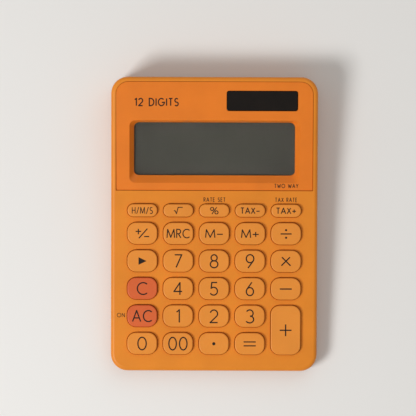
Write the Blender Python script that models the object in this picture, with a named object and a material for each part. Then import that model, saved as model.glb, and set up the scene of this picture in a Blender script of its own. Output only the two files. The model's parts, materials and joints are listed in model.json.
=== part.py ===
"""A twelve-digit desk calculator: two shells, a display panel, 29 keys over a rubber keypad,
a board, and a button cell behind a screwed cover.

Metres. +Z up, +X right, +Y to the rear; the origin is on the table under the middle.
"""
import math

import bmesh
import bpy
from mathutils import Matrix, Vector

MM = 0.001
FIT = 0.3 * MM                 # space between pieces that are assembled face to face

# Overall housing
BODY_WIDTH = 105 * MM
BODY_LENGTH = 149.5 * MM
CORNER_RADIUS = 8.5 * MM       # in plan
EDGE_RADIUS = 2.0 * MM         # along the top edges
DECK_TILT = math.radians(4)
WALL = 1.8 * MM
FLOOR = 1.6 * MM
PARTING_HEIGHT = 5.0 * MM      # where the two shells meet
BOTTOM_CHAMFER = 1.2 * MM
FOOT_RADIUS = 4.0 * MM
FOOT_PROUD = 1.2 * MM
FOOT_INSET = 10.5 * MM         # from the sides to a foot's middle
FOOT_FROM_END = 12.75 * MM
POCKET_DEPTH = 0.5 * MM        # for the feet and for the rating label
LABEL_WIDTH = 44 * MM
LABEL_LENGTH = 18 * MM
LABEL_THICKNESS = 0.2 * MM
LABEL_Y = -20 * MM

# Key field: the keys fill the deck between its margins
SIDE_MARGIN = 8.36 * MM
FRONT_MARGIN = 8.51 * MM
LEGEND_STRIP = 6.17 * MM       # behind the top row
KEY_SPACE_X = 3.07 * MM
KEY_SPACE_Y = 2.96 * MM
SHORT_KEY_LENGTH = 6.45 * MM
KEY_RADIUS = 4.5 * MM
KEY_EDGE = 0.6 * MM
KEY_GAP = 0.35 * MM            # between a key and the edge of its opening
KEY_PROUD = 1.8 * MM
KEY_TRAVEL = 1.2 * MM
FLANGE = 0.8 * MM              # thickness and width of a key's retaining flange

# Layers under the deck
DOME_FOLD = 0.6 * MM           # height left in a dome at the end of a key's travel
DOME_RADIUS = 3.8 * MM
DOME_TOP_RADIUS = 2.4 * MM
DOME_SKIN = 0.8 * MM
WEB = 0.8 * MM
WEB_SIDE_INSET = 8.2 * MM      # from the sides of the body
WEB_FRONT_INSET = 6.5 * MM
BOARD = 1.2 * MM
BOARD_UNDER_GAP = 0.4 * MM
FLEX_LANDING = 3.5 * MM        # bare board behind the keypad
CHIP_RADIUS = 6 * MM
CHIP_HEIGHT = 1.5 * MM
BOARD_CORNER = 1.5 * MM
CAPACITOR_RADIUS = 2.0 * MM
CAPACITOR_LENGTH = 7.0 * MM
PARTS_FROM_EDGE = 14 * MM      # from the board's rear edge to the chip and the capacitor

# Display panel
PANEL_LENGTH = 58.3 * MM       # from the step in the deck to the rear edge
STEP_DROP = 0.5 * MM
STEP_RUN = 0.6 * MM
PANEL_SETBACK = 0.4 * MM       # from the foot of the step to the panel's rebate
RIM = 2.2 * MM                 # of the front shell, round the panel
PANEL_THICKNESS = 1.7 * MM
SHELF = 1.6 * MM
RECESS_SIDE_MARGIN = 9.3 * MM
RECESS_FRONT_MARGIN = 4.0 * MM
RECESS_LENGTH = 31.9 * MM
RECESS_DEPTH = 3.0 * MM
RECESS_RADIUS = 2.8 * MM
SLOPE_SIDE = 2.3 * MM          # how far the surround's walls lean in
SLOPE_FRONT = 3.6 * MM
SLOPE_REAR = 1.3 * MM
SURROUND_WALL = 1.2 * MM
LENS_THICKNESS = 1.0 * MM
LENS_LAP = 1.4 * MM
GLASS_THICKNESS = 2.0 * MM
ROOM_UNDER_DISPLAY = 3.05 * MM # over the battery bay's roof, for the leads
HOLDER_BAR = 3.4 * MM
HOLDER_HEIGHT = 2.4 * MM
SOLAR_WIDTH = 36.3 * MM
SOLAR_LENGTH = 10.4 * MM
SOLAR_CORNER = 1.3 * MM
SOLAR_SIDE_MARGIN = 10.15 * MM
SOLAR_REAR_MARGIN = 7.0 * MM
SOLAR_LENS_THICKNESS = 1.0 * MM
SOLAR_CELL_THICKNESS = 1.1 * MM
FLEX_WIDTH = 60 * MM
FLEX_THICKNESS = 0.25 * MM

# Fasteners
SCREW_RADIUS = 0.9 * MM
SCREW_LENGTH = 5.0 * MM
SCREW_HEAD_RADIUS = 2.0 * MM
SCREW_HEAD_HEIGHT = 1.3 * MM
BOSS_RADIUS = 2.6 * MM
BOSS_INSET = 4.1 * MM          # from the sides to a boss's middle
BOSS_FROM_END = 8.75 * MM
SEAT_THICKNESS = 1.5 * MM      # of the rear case over a screw head
SCREW_END_GAP = 0.34 * MM      # from a screw's tip to the end of its hole
COVER_HEAD_HEIGHT = 0.8 * MM   # of the battery cover's screw

# Battery bay
CELL_RADIUS = 5.8 * MM
CELL_HEIGHT = 5.4 * MM
BAY_FROM_SIDE = 32.5 * MM      # to the middle of the cover
BAY_FROM_REAR = 17.75 * MM
COVER_WIDTH = 26 * MM
COVER_LENGTH = 22 * MM
COVER_THICKNESS = 2.0 * MM
COVER_CORNER = 1.5 * MM
BAY_WALL = 1.3 * MM
PEDESTAL_ROOF = 1.5 * MM       # of the rear case over the cover
CONTACT_THICKNESS = 0.4 * MM
CONTACT_WIDTH = 3.0 * MM
CONTACT_TAB = 1.2 * MM         # above the bay, for the lead
LEAD_RADIUS = 0.5 * MM
RIB_X = 27 * MM
RIB_THICKNESS = 1.4 * MM

# Worked out from the sizes above
FLOOR_TOP = FOOT_PROUD + FLOOR
FRONT = -BODY_LENGTH / 2
STEP_Y = BODY_LENGTH / 2 - PANEL_LENGTH
FLANGE_TOP = WALL + FIT
DOME_TOP = FLANGE_TOP + FLANGE + FIT
WEB_TOP = DOME_TOP + KEY_TRAVEL + DOME_FOLD
BOARD_TOP = WEB_TOP + WEB + FIT
BOARD_UNDERSIDE = BOARD_TOP + BOARD
DECK_LENGTH = (STEP_Y - FRONT) / math.cos(DECK_TILT)
WEB_END = DECK_LENGTH - LEGEND_STRIP + KEY_SPACE_Y / 2
BOARD_END = WEB_END + FLEX_LANDING
CAPACITOR_Y = BOARD_END - PARTS_FROM_EDGE
CAPACITOR_UNDERSIDE = BOARD_UNDERSIDE + FIT + 2 * CAPACITOR_RADIUS


def front_height(depth, y):
    """How high the deck starts if what lies at that depth and y under it is to clear the floor."""
    return FLOOR_TOP + BOARD_UNDER_GAP + depth * math.cos(DECK_TILT) - y * math.sin(DECK_TILT)


FRONT_HEIGHT = max(front_height(BOARD_UNDERSIDE, WEB_FRONT_INSET),
                   front_height(CAPACITOR_UNDERSIDE, CAPACITOR_Y))
STEP_HEIGHT = FRONT_HEIGHT + (STEP_Y - FRONT) * math.tan(DECK_TILT)
PANEL_Y = STEP_Y + STEP_RUN
PANEL_FRONT_HEIGHT = STEP_HEIGHT - STEP_DROP
BAY_X = BAY_FROM_SIDE - BODY_WIDTH / 2
BAY_Y = BODY_LENGTH / 2 - BAY_FROM_REAR
CELL_BOTTOM = FOOT_PROUD + COVER_THICKNESS + FIT
PEDESTAL_TOP = CELL_BOTTOM + PEDESTAL_ROOF
BAY_CEILING = CELL_BOTTOM + CELL_HEIGHT + FIT + CONTACT_THICKNESS + FIT
BAY_TOP = BAY_CEILING + BAY_WALL
LENS_DEPTH = RECESS_DEPTH + FIT
GLASS_DEPTH = LENS_DEPTH + LENS_THICKNESS + FIT
HEIGHT_OVER_BAY = BAY_TOP + ROOM_UNDER_DISPLAY + GLASS_THICKNESS + GLASS_DEPTH
PANEL_TILT = math.atan((HEIGHT_OVER_BAY - PANEL_FRONT_HEIGHT) / (BAY_Y - PANEL_Y))
REBATE_DEPTH = PANEL_THICKNESS + FIT
KEY_WIDTH = (BODY_WIDTH - 2 * SIDE_MARGIN - 4 * KEY_SPACE_X) / 5
COLUMN_PITCH = KEY_WIDTH + KEY_SPACE_X
KEY_LENGTH = (DECK_LENGTH - FRONT_MARGIN - LEGEND_STRIP - SHORT_KEY_LENGTH - 5 * KEY_SPACE_Y) / 5
ROW_PITCH = KEY_LENGTH + KEY_SPACE_Y
HOLDER_DEPTH = REBATE_DEPTH + SHELF + FIT
SCREW_SEAT = PARTING_HEIGHT - FIT - SEAT_THICKNESS - FIT

# Keys by row, front to rear, left to right; the tall key spans the two front rows
KEY_ROWS = (
    ("key_0", "key_00", "key_point", "key_equals"),
    ("key_all_clear", "key_1", "key_2", "key_3"),
    ("key_clear", "key_4", "key_5", "key_6", "key_subtract"),
    ("key_backspace", "key_7", "key_8", "key_9", "key_multiply"),
    ("key_sign", "key_memory_recall", "key_memory_minus", "key_memory_plus", "key_divide"),
    ("key_hms", "key_root", "key_percent", "key_tax_minus", "key_tax_plus"),
)
TALL_KEY = "key_add"
RED_KEYS = ("key_clear", "key_all_clear")

ORANGE = (0.745, 0.245, 0.032)
PANEL_ORANGE = (0.765, 0.205, 0.026)
RED = (0.665, 0.120, 0.028)


def clear_scene():
    for item in list(bpy.data.objects):
        bpy.data.objects.remove(item)


def finish(name, colour, roughness=0.5, metallic=0.0):
    """One Principled material, made once for each name."""
    known = bpy.data.materials.get(name)
    if known:
        return known
    material = bpy.data.materials.new(name)
    material.use_nodes = True
    shader = material.node_tree.nodes["Principled BSDF"]
    shader.inputs["Base Color"].default_value = (*colour, 1.0)
    shader.inputs["Roughness"].default_value = roughness
    shader.inputs["Metallic"].default_value = metallic
    return material


def place(name, bm, parent=None, at=(0, 0, 0)):
    """A named object holding the mesh, with its faces out."""
    bmesh.ops.recalc_face_normals(bm, faces=bm.faces)
    mesh = bpy.data.meshes.new(name)
    bm.to_mesh(mesh)
    bm.free()
    thing = bpy.data.objects.new(name, mesh)
    bpy.context.collection.objects.link(thing)
    thing.parent = parent
    thing.location = at
    return thing


def frame(name, at, tilt):
    """An empty that carries the pieces laid out on a sloping face."""
    empty = bpy.data.objects.new(name, None)
    bpy.context.collection.objects.link(empty)
    empty.location = at
    empty.rotation_euler = (tilt, 0, 0)
    return empty


def rounded(width, length, radius, steps=4, marks=(), middle=(0, 0)):
    """A rounded rectangle, counter-clockwise from its front right corner, with extra points
    where its long sides pass the marks."""
    x = width / 2 - radius
    y = length / 2 - radius
    corners = ((x, -y, -90), (x, y, 0), (-x, y, 90), (-x, -y, 180))
    points = []
    for number, (cx, cy, start) in enumerate(corners):
        for step in range(steps + 1):
            angle = math.radians(start + 90 * step / steps)
            points.append((cx + radius * math.cos(angle), cy + radius * math.sin(angle)))
        if number == 0:
            points += [(width / 2, mark) for mark in marks]
        if number == 2:
            points += [(-width / 2, mark) for mark in reversed(marks)]
    return [(px + middle[0], py + middle[1]) for px, py in points]


def disc(radius, steps=16, middle=(0, 0)):
    turns = [math.tau * step / steps for step in range(steps)]
    return [(middle[0] + radius * math.cos(a), middle[1] + radius * math.sin(a)) for a in turns]


def stack(name, layers, parent=None, at=(0, 0, 0)):
    """A closed solid through outlines with equal numbers of points, each at its own height."""
    bm = bmesh.new()
    rings = [[bm.verts.new((px, py, z)) for px, py in outline] for outline, z in layers]
    for lower, upper in zip(rings, rings[1:]):
        join_rings(bm, lower, upper)
    bm.faces.new(reversed(rings[0]))
    bm.faces.new(rings[-1])
    return place(name, bm, parent, at)


def join_rings(bm, lower, upper):
    count = len(lower)
    for i in range(count):
        j = (i + 1) % count
        bm.faces.new((lower[i], lower[j], upper[j], upper[i]))


def side_profile(name, points, width, x=0.0):
    """A solid whose outline is drawn in side view (y, z), as wide as given along X."""
    bm = bmesh.new()
    left = [bm.verts.new((x - width / 2, y, z)) for y, z in points]
    right = [bm.verts.new((x + width / 2, y, z)) for y, z in points]
    join_rings(bm, left, right)
    bm.faces.new(reversed(left))
    bm.faces.new(right)
    return place(name, bm)


def merged(name, shapes):
    """Several separate closed shapes as the one operand of a Boolean."""
    bm = bmesh.new()
    parent = shapes[0].parent
    for shape in shapes:
        shape.data.transform(Matrix.Translation(shape.location))
        bm.from_mesh(shape.data)
        bpy.data.objects.remove(shape)
    return place(name, bm, parent)


def shape_with(target, tool, operation):
    """Cut with, or join on, a guide shape that isn't a piece of its own."""
    tool.hide_render = True
    tool.display_type = "WIRE"
    modifier = target.modifiers.new(tool.name, "BOOLEAN")
    modifier.operation = operation
    modifier.solver = "EXACT"
    modifier.object = tool


def cut(target, tool):
    shape_with(target, tool, "DIFFERENCE")


def add(target, tool):
    shape_with(target, tool, "UNION")


def smooth(thing, degrees=35):
    thing.data.shade_smooth()
    thing.data.set_sharp_from_angle(angle=math.radians(degrees))


# ---- housing -------------------------------------------------------------------------------

def outer_height(y):
    """The top of the housing before its edges are rounded."""
    if y <= STEP_Y + 1e-6:
        return FRONT_HEIGHT + (y - FRONT) * math.tan(DECK_TILT)
    return PANEL_FRONT_HEIGHT + (y - PANEL_Y) * math.tan(PANEL_TILT)


def inner_height(y):
    """The underside of the deck and, further back, of the shelf under the panel."""
    if y <= PANEL_Y - SHELF - STEP_RUN + 1e-6:
        return outer_height(y) - WALL / math.cos(DECK_TILT)
    lowered = (REBATE_DEPTH + SHELF) / math.cos(PANEL_TILT)
    return PANEL_FRONT_HEIGHT + (y - PANEL_Y) * math.tan(PANEL_TILT) - lowered


def housing_solid(name, bottom, rings, marks, height):
    """A solid with the housing's plan, capped by the two slopes that meet at the marks.
    Each ring gives how far it lies inside the plan and below the top."""
    steps = 8
    bm = bmesh.new()

    def ring(inset, z_of):
        outline = rounded(BODY_WIDTH - 2 * inset, BODY_LENGTH - 2 * inset,
                          CORNER_RADIUS - inset, steps, marks)
        return [bm.verts.new((px, py, z_of(py))) for px, py in outline]

    levels = [ring(inset, lambda y, z=z: z) for inset, z in bottom]
    levels += [ring(inset, lambda y, d=drop: height(y) - d) for inset, drop in rings]
    for lower, upper in zip(levels, levels[1:]):
        join_rings(bm, lower, upper)
    bm.faces.new(reversed(levels[0]))
    top = levels[-1]
    corner = steps + 1
    near = top[:corner + 1] + top[3 * corner + 3:]
    bm.faces.new(near)
    bm.faces.new((top[corner], top[corner + 1], top[3 * corner + 2], top[3 * corner + 3]))
    bm.faces.new(top[corner + 1:3 * corner + 3])
    return place(name, bm)


def boss_places():
    for side in (-1, 1):
        for end in (-1, 1):
            yield (side * (BODY_WIDTH / 2 - BOSS_INSET), end * (BODY_LENGTH / 2 - BOSS_FROM_END))


def rounded_edge():
    """Inset and drop of the rings that round the top edge."""
    turns = [math.radians(90 * step / 3) for step in range(4)]
    return [(EDGE_RADIUS * (1 - math.cos(a)), EDGE_RADIUS * (1 - math.sin(a))) for a in turns]


def bosses(name, radius, bottom, top_at):
    """Upright cylinders at the case screws, each up to the height that its y gives."""
    shapes = []
    for number, (x, y) in enumerate(boss_places()):
        shapes.append(stack(f"{name}_{number}", [(disc(radius, 16, (x, y)), bottom),
                                                 (disc(radius, 16, (x, y)), top_at(y))]))
    return merged(name, shapes)


def make_front_shell(deck, panel):
    shell = housing_solid("front_shell", [(0, PARTING_HEIGHT)], rounded_edge(),
                          (STEP_Y, PANEL_Y), outer_height)
    void = housing_solid("front_shell_void", [(WALL, PARTING_HEIGHT - 2 * MM)], [(WALL, 0)],
                         (PANEL_Y - SHELF - STEP_RUN, PANEL_Y - SHELF), inner_height)
    cut(shell, void)
    add(shell, bosses("shell_bosses", BOSS_RADIUS, PARTING_HEIGHT, lambda y: inner_height(y) + 0.5 * MM))
    hole_end = SCREW_SEAT + SCREW_LENGTH + SCREW_END_GAP
    cut(shell, bosses("boss_holes", SCREW_RADIUS + FIT, PARTING_HEIGHT - MM, lambda y: hole_end))
    cut(shell, key_openings(deck))
    outline, _ = panel_outline(0)
    cut(shell, stack("panel_rebate", [(outline, -REBATE_DEPTH), (outline, 5 * MM)], panel))
    outer, _ = recess_outlines(SURROUND_WALL + FIT)
    cut(shell, stack("surround_opening", [(outer, -10 * MM), (outer, 5 * MM)], panel))
    window = solar_outline(FIT, SOLAR_CORNER + FIT)
    cut(shell, stack("solar_opening", [(window, -10 * MM), (window, 5 * MM)], panel))
    shell.data.materials.append(finish("orange_plastic", ORANGE, 0.42))
    smooth(shell)
    return shell


# ---- display panel, laid out on its own slope: x across, y up the slope, z out of it --------

def panel_outline(gap):
    """Outline of the panel, the given gap inside the rebate; and its length up the slope."""
    length = (BODY_LENGTH / 2 - RIM - PANEL_Y) / math.cos(PANEL_TILT)
    width = BODY_WIDTH - 2 * RIM
    radius = CORNER_RADIUS - RIM - gap
    x = width / 2 - gap
    points = [(-x, PANEL_SETBACK + gap), (x, PANEL_SETBACK + gap)]
    for cx, start in ((x - radius, 0), (-x + radius, 90)):
        for step in range(7):
            angle = math.radians(start + 15 * step)
            points.append((cx + radius * math.cos(angle), length - gap - radius + radius * math.sin(angle)))
    return points, length


def recess_outlines(grow=0.0):
    """The sunk surround's mouth, and its smaller floor, both grown by the same amount."""
    width = BODY_WIDTH - 2 * RECESS_SIDE_MARGIN
    middle = (0, RECESS_FRONT_MARGIN + RECESS_LENGTH / 2)
    mouth = rounded(width + 2 * grow, RECESS_LENGTH + 2 * grow, RECESS_RADIUS + grow, 4, (), middle)
    shift = (SLOPE_FRONT - SLOPE_REAR) / 2
    floor = rounded(width - 2 * SLOPE_SIDE + 2 * grow, RECESS_LENGTH - SLOPE_FRONT - SLOPE_REAR + 2 * grow,
                    RECESS_RADIUS / 2 + grow, 4, (), (0, middle[1] + shift))
    return mouth, floor


def floor_rectangle(grow, radius=1.0 * MM):
    """A rectangle on the same middle as the display, larger than the visible window by grow."""
    width = BODY_WIDTH - 2 * (RECESS_SIDE_MARGIN + SLOPE_SIDE)
    length = RECESS_LENGTH - SLOPE_FRONT - SLOPE_REAR
    middle = (0, RECESS_FRONT_MARGIN + SLOPE_FRONT + length / 2)
    return rounded(width + 2 * grow, length + 2 * grow, radius, 2, (), middle)


def solar_outline(grow, radius):
    _, length = panel_outline(0)
    x = BODY_WIDTH / 2 - SOLAR_SIDE_MARGIN - SOLAR_WIDTH / 2
    y = length + RIM - SOLAR_REAR_MARGIN - SOLAR_LENGTH / 2
    return rounded(SOLAR_WIDTH + 2 * grow, SOLAR_LENGTH + 2 * grow, radius, 3, (), (x, y))


def make_display_panel(panel):
    outline, _ = panel_outline(FIT)
    plate = stack("display_panel", [(outline, -PANEL_THICKNESS), (outline, 0)], panel)
    mouth, floor = recess_outlines()
    outer, _ = recess_outlines(SURROUND_WALL)
    add(plate, stack("surround", [(outer, -RECESS_DEPTH), (outer, -0.4 * MM)], panel))
    spread = MM / RECESS_DEPTH
    high = [(m[0] + (m[0] - f[0]) * spread, m[1] + (m[1] - f[1]) * spread) for m, f in zip(mouth, floor)]
    deep = [(f[0] - (m[0] - f[0]) * spread, f[1] - (m[1] - f[1]) * spread) for m, f in zip(mouth, floor)]
    cut(plate, stack("surround_slopes", [(deep, -RECESS_DEPTH - MM), (high, MM)], panel))
    window = solar_outline(0, SOLAR_CORNER)
    cut(plate, stack("solar_window_cut", [(window, -3 * MM), (window, MM)], panel))
    plate.data.materials.append(finish("panel_plastic", PANEL_ORANGE, 0.35))
    smooth(plate)


def make_display(panel):
    outline = floor_rectangle(LENS_LAP)
    lens = stack("display_lens", [(outline, -LENS_DEPTH - LENS_THICKNESS), (outline, -LENS_DEPTH)], panel)
    lens.data.materials.append(finish("clear_plastic", (0.6, 0.62, 0.6), 0.1))
    glass = stack("lcd_glass", [(outline, -GLASS_DEPTH - GLASS_THICKNESS), (outline, -GLASS_DEPTH)], panel)
    glass.data.materials.append(finish("lcd_grey", (0.068, 0.062, 0.048), 0.3))
    inner = floor_rectangle(LENS_LAP + FIT)
    outer = floor_rectangle(LENS_LAP + FIT + HOLDER_BAR)
    holder = stack("lcd_holder", [(outer, -HOLDER_DEPTH - HOLDER_HEIGHT), (outer, -HOLDER_DEPTH)], panel)
    cut(holder, stack("holder_opening", [(inner, -20 * MM), (inner, 5 * MM)], panel))
    holder.data.materials.append(finish("white_plastic", (0.75, 0.74, 0.7), 0.5))


def make_solar(panel):
    outline = solar_outline(-FIT, SOLAR_CORNER - FIT)
    lens = stack("solar_lens", [(outline, -0.2 * MM - SOLAR_LENS_THICKNESS), (outline, -0.2 * MM)], panel)
    lens.data.materials.append(finish("smoked_plastic", (0.01, 0.008, 0.007), 0.08))
    top = -0.2 * MM - SOLAR_LENS_THICKNESS - FIT
    cell = stack("solar_cell", [(outline, top - SOLAR_CELL_THICKNESS), (outline, top)], panel)
    cell.data.materials.append(finish("solar_brown", (0.02, 0.012, 0.012), 0.2))
    return top - SOLAR_CELL_THICKNESS


# ---- keys, laid out on the deck: x across, y up the slope, z out of it ----------------------

def key_sites():
    """Name, x, y, width, length of each key on the deck."""
    first = FRONT_MARGIN + KEY_LENGTH / 2
    for row, names in enumerate(KEY_ROWS):
        short = row == len(KEY_ROWS) - 1
        length = SHORT_KEY_LENGTH if short else KEY_LENGTH
        y = first + ROW_PITCH * row
        if short:
            y -= (KEY_LENGTH - SHORT_KEY_LENGTH) / 2
        for column, name in enumerate(names):
            yield name, (column - 2) * COLUMN_PITCH, y, length
    yield TALL_KEY, 2 * COLUMN_PITCH, first + ROW_PITCH / 2, 2 * KEY_LENGTH + KEY_SPACE_Y


def key_outline(length, grow):
    radius = min(KEY_RADIUS, length / 2 - 0.01 * MM) + grow
    return rounded(KEY_WIDTH + 2 * grow, length + 2 * grow, radius, 3)


def key_openings(deck):
    shapes = []
    for name, x, y, length in key_sites():
        outline = key_outline(length, KEY_GAP)
        shapes.append(stack(f"{name}_opening", [(outline, -WALL - MM), (outline, MM)], deck, (x, y, 0)))
    return merged("key_openings", shapes)


def make_keys(deck):
    for name, x, y, length in key_sites():
        flange = key_outline(length, FLANGE)
        stem = key_outline(length, 0)
        top = key_outline(length, -KEY_EDGE)
        layers = [(flange, -FLANGE_TOP - FLANGE), (flange, -FLANGE_TOP), (stem, -FLANGE_TOP),
                  (stem, KEY_PROUD - KEY_EDGE), (top, KEY_PROUD)]
        key = stack(name, layers, deck, (x, y, 0))
        if name in RED_KEYS:
            key.data.materials.append(finish("red_plastic", RED, 0.42))
        else:
            key.data.materials.append(finish("key_plastic", ORANGE, 0.42))
        smooth(key)


def dome_places():
    for name, x, y, _ in key_sites():
        if name == TALL_KEY:
            yield x, y - ROW_PITCH / 2
            yield x, y + ROW_PITCH / 2
        else:
            yield x, y


def domes(name, foot, crown, bottom, top, deck):
    shapes = []
    for number, (x, y) in enumerate(dome_places()):
        shapes.append(stack(f"{name}_{number}", [(disc(foot, 10, (x, y)), bottom),
                                                 (disc(crown, 10, (x, y)), top)], deck))
    return merged(name, shapes)


def board_outline(end):
    width = BODY_WIDTH - 2 * WEB_SIDE_INSET
    length = end - WEB_FRONT_INSET
    return rounded(width, length, BOARD_CORNER, 2, (), (0, WEB_FRONT_INSET + length / 2))


def make_keypad(deck):
    outline = board_outline(WEB_END)
    pad = stack("rubber_keypad", [(outline, -WEB_TOP - WEB), (outline, -WEB_TOP)], deck)
    add(pad, domes("keypad_domes", DOME_RADIUS, DOME_TOP_RADIUS, -WEB_TOP - 0.2 * MM, -DOME_TOP, deck))
    cut(pad, domes("keypad_hollows", DOME_RADIUS - DOME_SKIN, DOME_TOP_RADIUS - DOME_SKIN,
                   -WEB_TOP - WEB - MM, -DOME_TOP - DOME_SKIN, deck))
    pad.data.materials.append(finish("keypad_rubber", (0.55, 0.53, 0.5), 0.8))


def make_board(deck):
    outline = board_outline(BOARD_END)
    board = stack("main_board", [(outline, -BOARD_UNDERSIDE), (outline, -BOARD_TOP)], deck)
    board.data.materials.append(finish("board_brown", (0.2, 0.11, 0.035), 0.5))
    under = -BOARD_UNDERSIDE - FIT
    middle = (9 * MM, BOARD_END - PARTS_FROM_EDGE)
    chip = stack("chip_blob", [(disc(CHIP_RADIUS * 0.55, 16, middle), under - CHIP_HEIGHT),
                               (disc(CHIP_RADIUS * 0.9, 16, middle), under - CHIP_HEIGHT * 0.6),
                               (disc(CHIP_RADIUS, 16, middle), under)], deck)
    chip.data.materials.append(finish("black_resin", (0.01, 0.01, 0.01), 0.35))
    smooth(chip, 50)
    can = stack("capacitor", [(disc(CAPACITOR_RADIUS), 0), (disc(CAPACITOR_RADIUS), CAPACITOR_LENGTH)],
                deck, (-12 * MM, CAPACITOR_Y, under - CAPACITOR_RADIUS))
    can.rotation_euler = (0, math.radians(90), 0)
    can.data.materials.append(finish("can_sleeve", (0.02, 0.03, 0.08), 0.4))
    smooth(can)


# ---- rear case and what it holds -----------------------------------------------------------

def upright(name, outline, bottom, top):
    return stack(name, [(outline, bottom), (outline, top)])


def foot_places():
    for side in (-1, 1):
        for end in (-1, 1):
            yield side * (BODY_WIDTH / 2 - FOOT_INSET), end * (BODY_LENGTH / 2 - FOOT_FROM_END)


def cell_middle():
    return BAY_X - 4 * MM, BAY_Y


def cover_screw_middle():
    return BAY_X + 9 * MM, BAY_Y


def well_outline(grow):
    """The well round the cell, longer to the left, where the side contact stands."""
    x, y = cell_middle()
    contact_room = FIT + CONTACT_THICKNESS + FIT
    width = 2 * CELL_RADIUS + 2 * FIT + contact_room
    length = 2 * CELL_RADIUS + 2 * FIT
    return rounded(width + 2 * grow, length + 2 * grow, 0.6 * MM + grow, 2, (), (x - contact_room / 2, y))


def bay_outline(grow, radius):
    return rounded(COVER_WIDTH + 2 * grow, COVER_LENGTH + 2 * grow, radius, 2, (), (BAY_X, BAY_Y))


def contact_slots():
    """Middles of the two slots in the bay's roof: over the cell, and beside it."""
    x, y = cell_middle()
    side_x = x - CELL_RADIUS - 2 * FIT - CONTACT_THICKNESS / 2
    return (x + CELL_RADIUS / 2, y), (side_x, y)


def make_rear_case():
    wall_top = PARTING_HEIGHT - FIT
    bottom = [(BOTTOM_CHAMFER, FOOT_PROUD), (0, FOOT_PROUD + BOTTOM_CHAMFER)]
    case = housing_solid("rear_case", bottom, [(0, 0)], (STEP_Y, PANEL_Y), lambda y: wall_top)
    void = housing_solid("rear_case_void", [(WALL, FLOOR_TOP)], [(WALL, 0)], (STEP_Y, PANEL_Y),
                         lambda y: wall_top + MM)
    cut(case, void)
    sunk = FLOOR_TOP - 0.5 * MM
    pads = [upright(f"pad_{n}", disc(BOSS_RADIUS + 0.4 * MM, 16, at), sunk, wall_top)
            for n, at in enumerate(boss_places())]
    add(case, merged("screw_pads", pads))
    add(case, upright("bay_pedestal", bay_outline(2 * MM, 2 * MM), sunk, PEDESTAL_TOP))
    add(case, upright("bay_well", well_outline(BAY_WALL), sunk + 0.2 * MM, BAY_TOP))
    hole_end = FOOT_PROUD + COVER_HEAD_HEIGHT + SCREW_LENGTH + SCREW_END_GAP
    boss = disc(BOSS_RADIUS, 16, cover_screw_middle())
    add(case, upright("cover_screw_boss", boss, sunk, hole_end + BAY_WALL))
    for side in (-1, 1):
        add(case, board_rib(f"board_rib_{side + 1}", side * RIB_X, sunk))
    cut_rear_case(case, wall_top, hole_end)
    case.data.materials.append(finish("rear_plastic", ORANGE, 0.5))
    smooth(case)


def board_rib(name, x, bottom):
    """A rib whose sloping top stops just under the board."""
    ends = (FRONT + 12 * MM, STEP_Y - 12 * MM)
    lowered = BOARD_UNDERSIDE / math.cos(DECK_TILT) + FIT
    points = [(ends[0], bottom), (ends[1], bottom),
              (ends[1], outer_height(ends[1]) - lowered), (ends[0], outer_height(ends[0]) - lowered)]
    return side_profile(name, points, RIB_THICKNESS, x)


def cut_rear_case(case, wall_top, cover_hole_end):
    below = FOOT_PROUD - MM
    seat = wall_top - SEAT_THICKNESS
    hole = SCREW_RADIUS + FIT
    sinks = [upright(f"sink_{n}", disc(SCREW_HEAD_RADIUS + FIT, 16, at), below, seat)
             for n, at in enumerate(boss_places())]
    cut(case, merged("screw_sinks", sinks))
    holes = [upright(f"hole_{n}", disc(hole, 16, at), below, wall_top + MM)
             for n, at in enumerate(boss_places())]
    cut(case, merged("screw_holes", holes))
    cut(case, upright("cover_recess", bay_outline(FIT, COVER_CORNER + FIT), below, CELL_BOTTOM))
    cut(case, upright("cell_well", well_outline(0), FOOT_PROUD + MM, BAY_CEILING))
    cut(case, upright("cover_screw_hole", disc(hole, 16, cover_screw_middle()), below, cover_hole_end))
    over, beside = contact_slots()
    tab = CONTACT_WIDTH + 2 * FIT
    for name, at in (("slot_over", over), ("slot_beside", beside)):
        slot = rounded(CONTACT_THICKNESS + 2 * FIT, tab, 0.2 * MM, 1, (), at)
        cut(case, upright(name, slot, BAY_CEILING - MM, BAY_TOP + MM))
    pockets = [upright(f"pocket_{n}", disc(FOOT_RADIUS + FIT, 20, at), below, FOOT_PROUD + POCKET_DEPTH)
               for n, at in enumerate(foot_places())]
    cut(case, merged("foot_pockets", pockets))
    label = rounded(LABEL_WIDTH + 2 * FIT, LABEL_LENGTH + 2 * FIT, MM, 2, (), (0, LABEL_Y))
    cut(case, upright("label_pocket", label, below, FOOT_PROUD + POCKET_DEPTH))


def make_feet_and_label():
    names = ("foot_front_left", "foot_rear_left", "foot_front_right", "foot_rear_right")
    height = FOOT_PROUD + POCKET_DEPTH - FIT
    for name, at in zip(names, foot_places()):
        foot = stack(name, [(disc(FOOT_RADIUS - 0.4 * MM, 20), 0), (disc(FOOT_RADIUS, 20), 0.4 * MM),
                            (disc(FOOT_RADIUS, 20), height)], None, (*at, 0))
        foot.data.materials.append(finish("foot_rubber", (0.03, 0.03, 0.03), 0.85))
        smooth(foot)
    outline = rounded(LABEL_WIDTH, LABEL_LENGTH, MM, 2, (), (0, LABEL_Y))
    label = upright("rating_label", outline, FOOT_PROUD, FOOT_PROUD + LABEL_THICKNESS)
    label.data.materials.append(finish("label_silver", (0.55, 0.55, 0.55), 0.4))


def make_screw(name, at, head_bottom, head_height):
    head = disc(SCREW_HEAD_RADIUS)
    shank = disc(SCREW_RADIUS)
    screw = stack(name, [(head, 0), (head, head_height), (shank, head_height),
                         (shank, head_height + SCREW_LENGTH)], None, (*at, head_bottom))
    screw.data.materials.append(finish("screw_steel", (0.45, 0.45, 0.45), 0.35, 1.0))
    smooth(screw)


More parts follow.
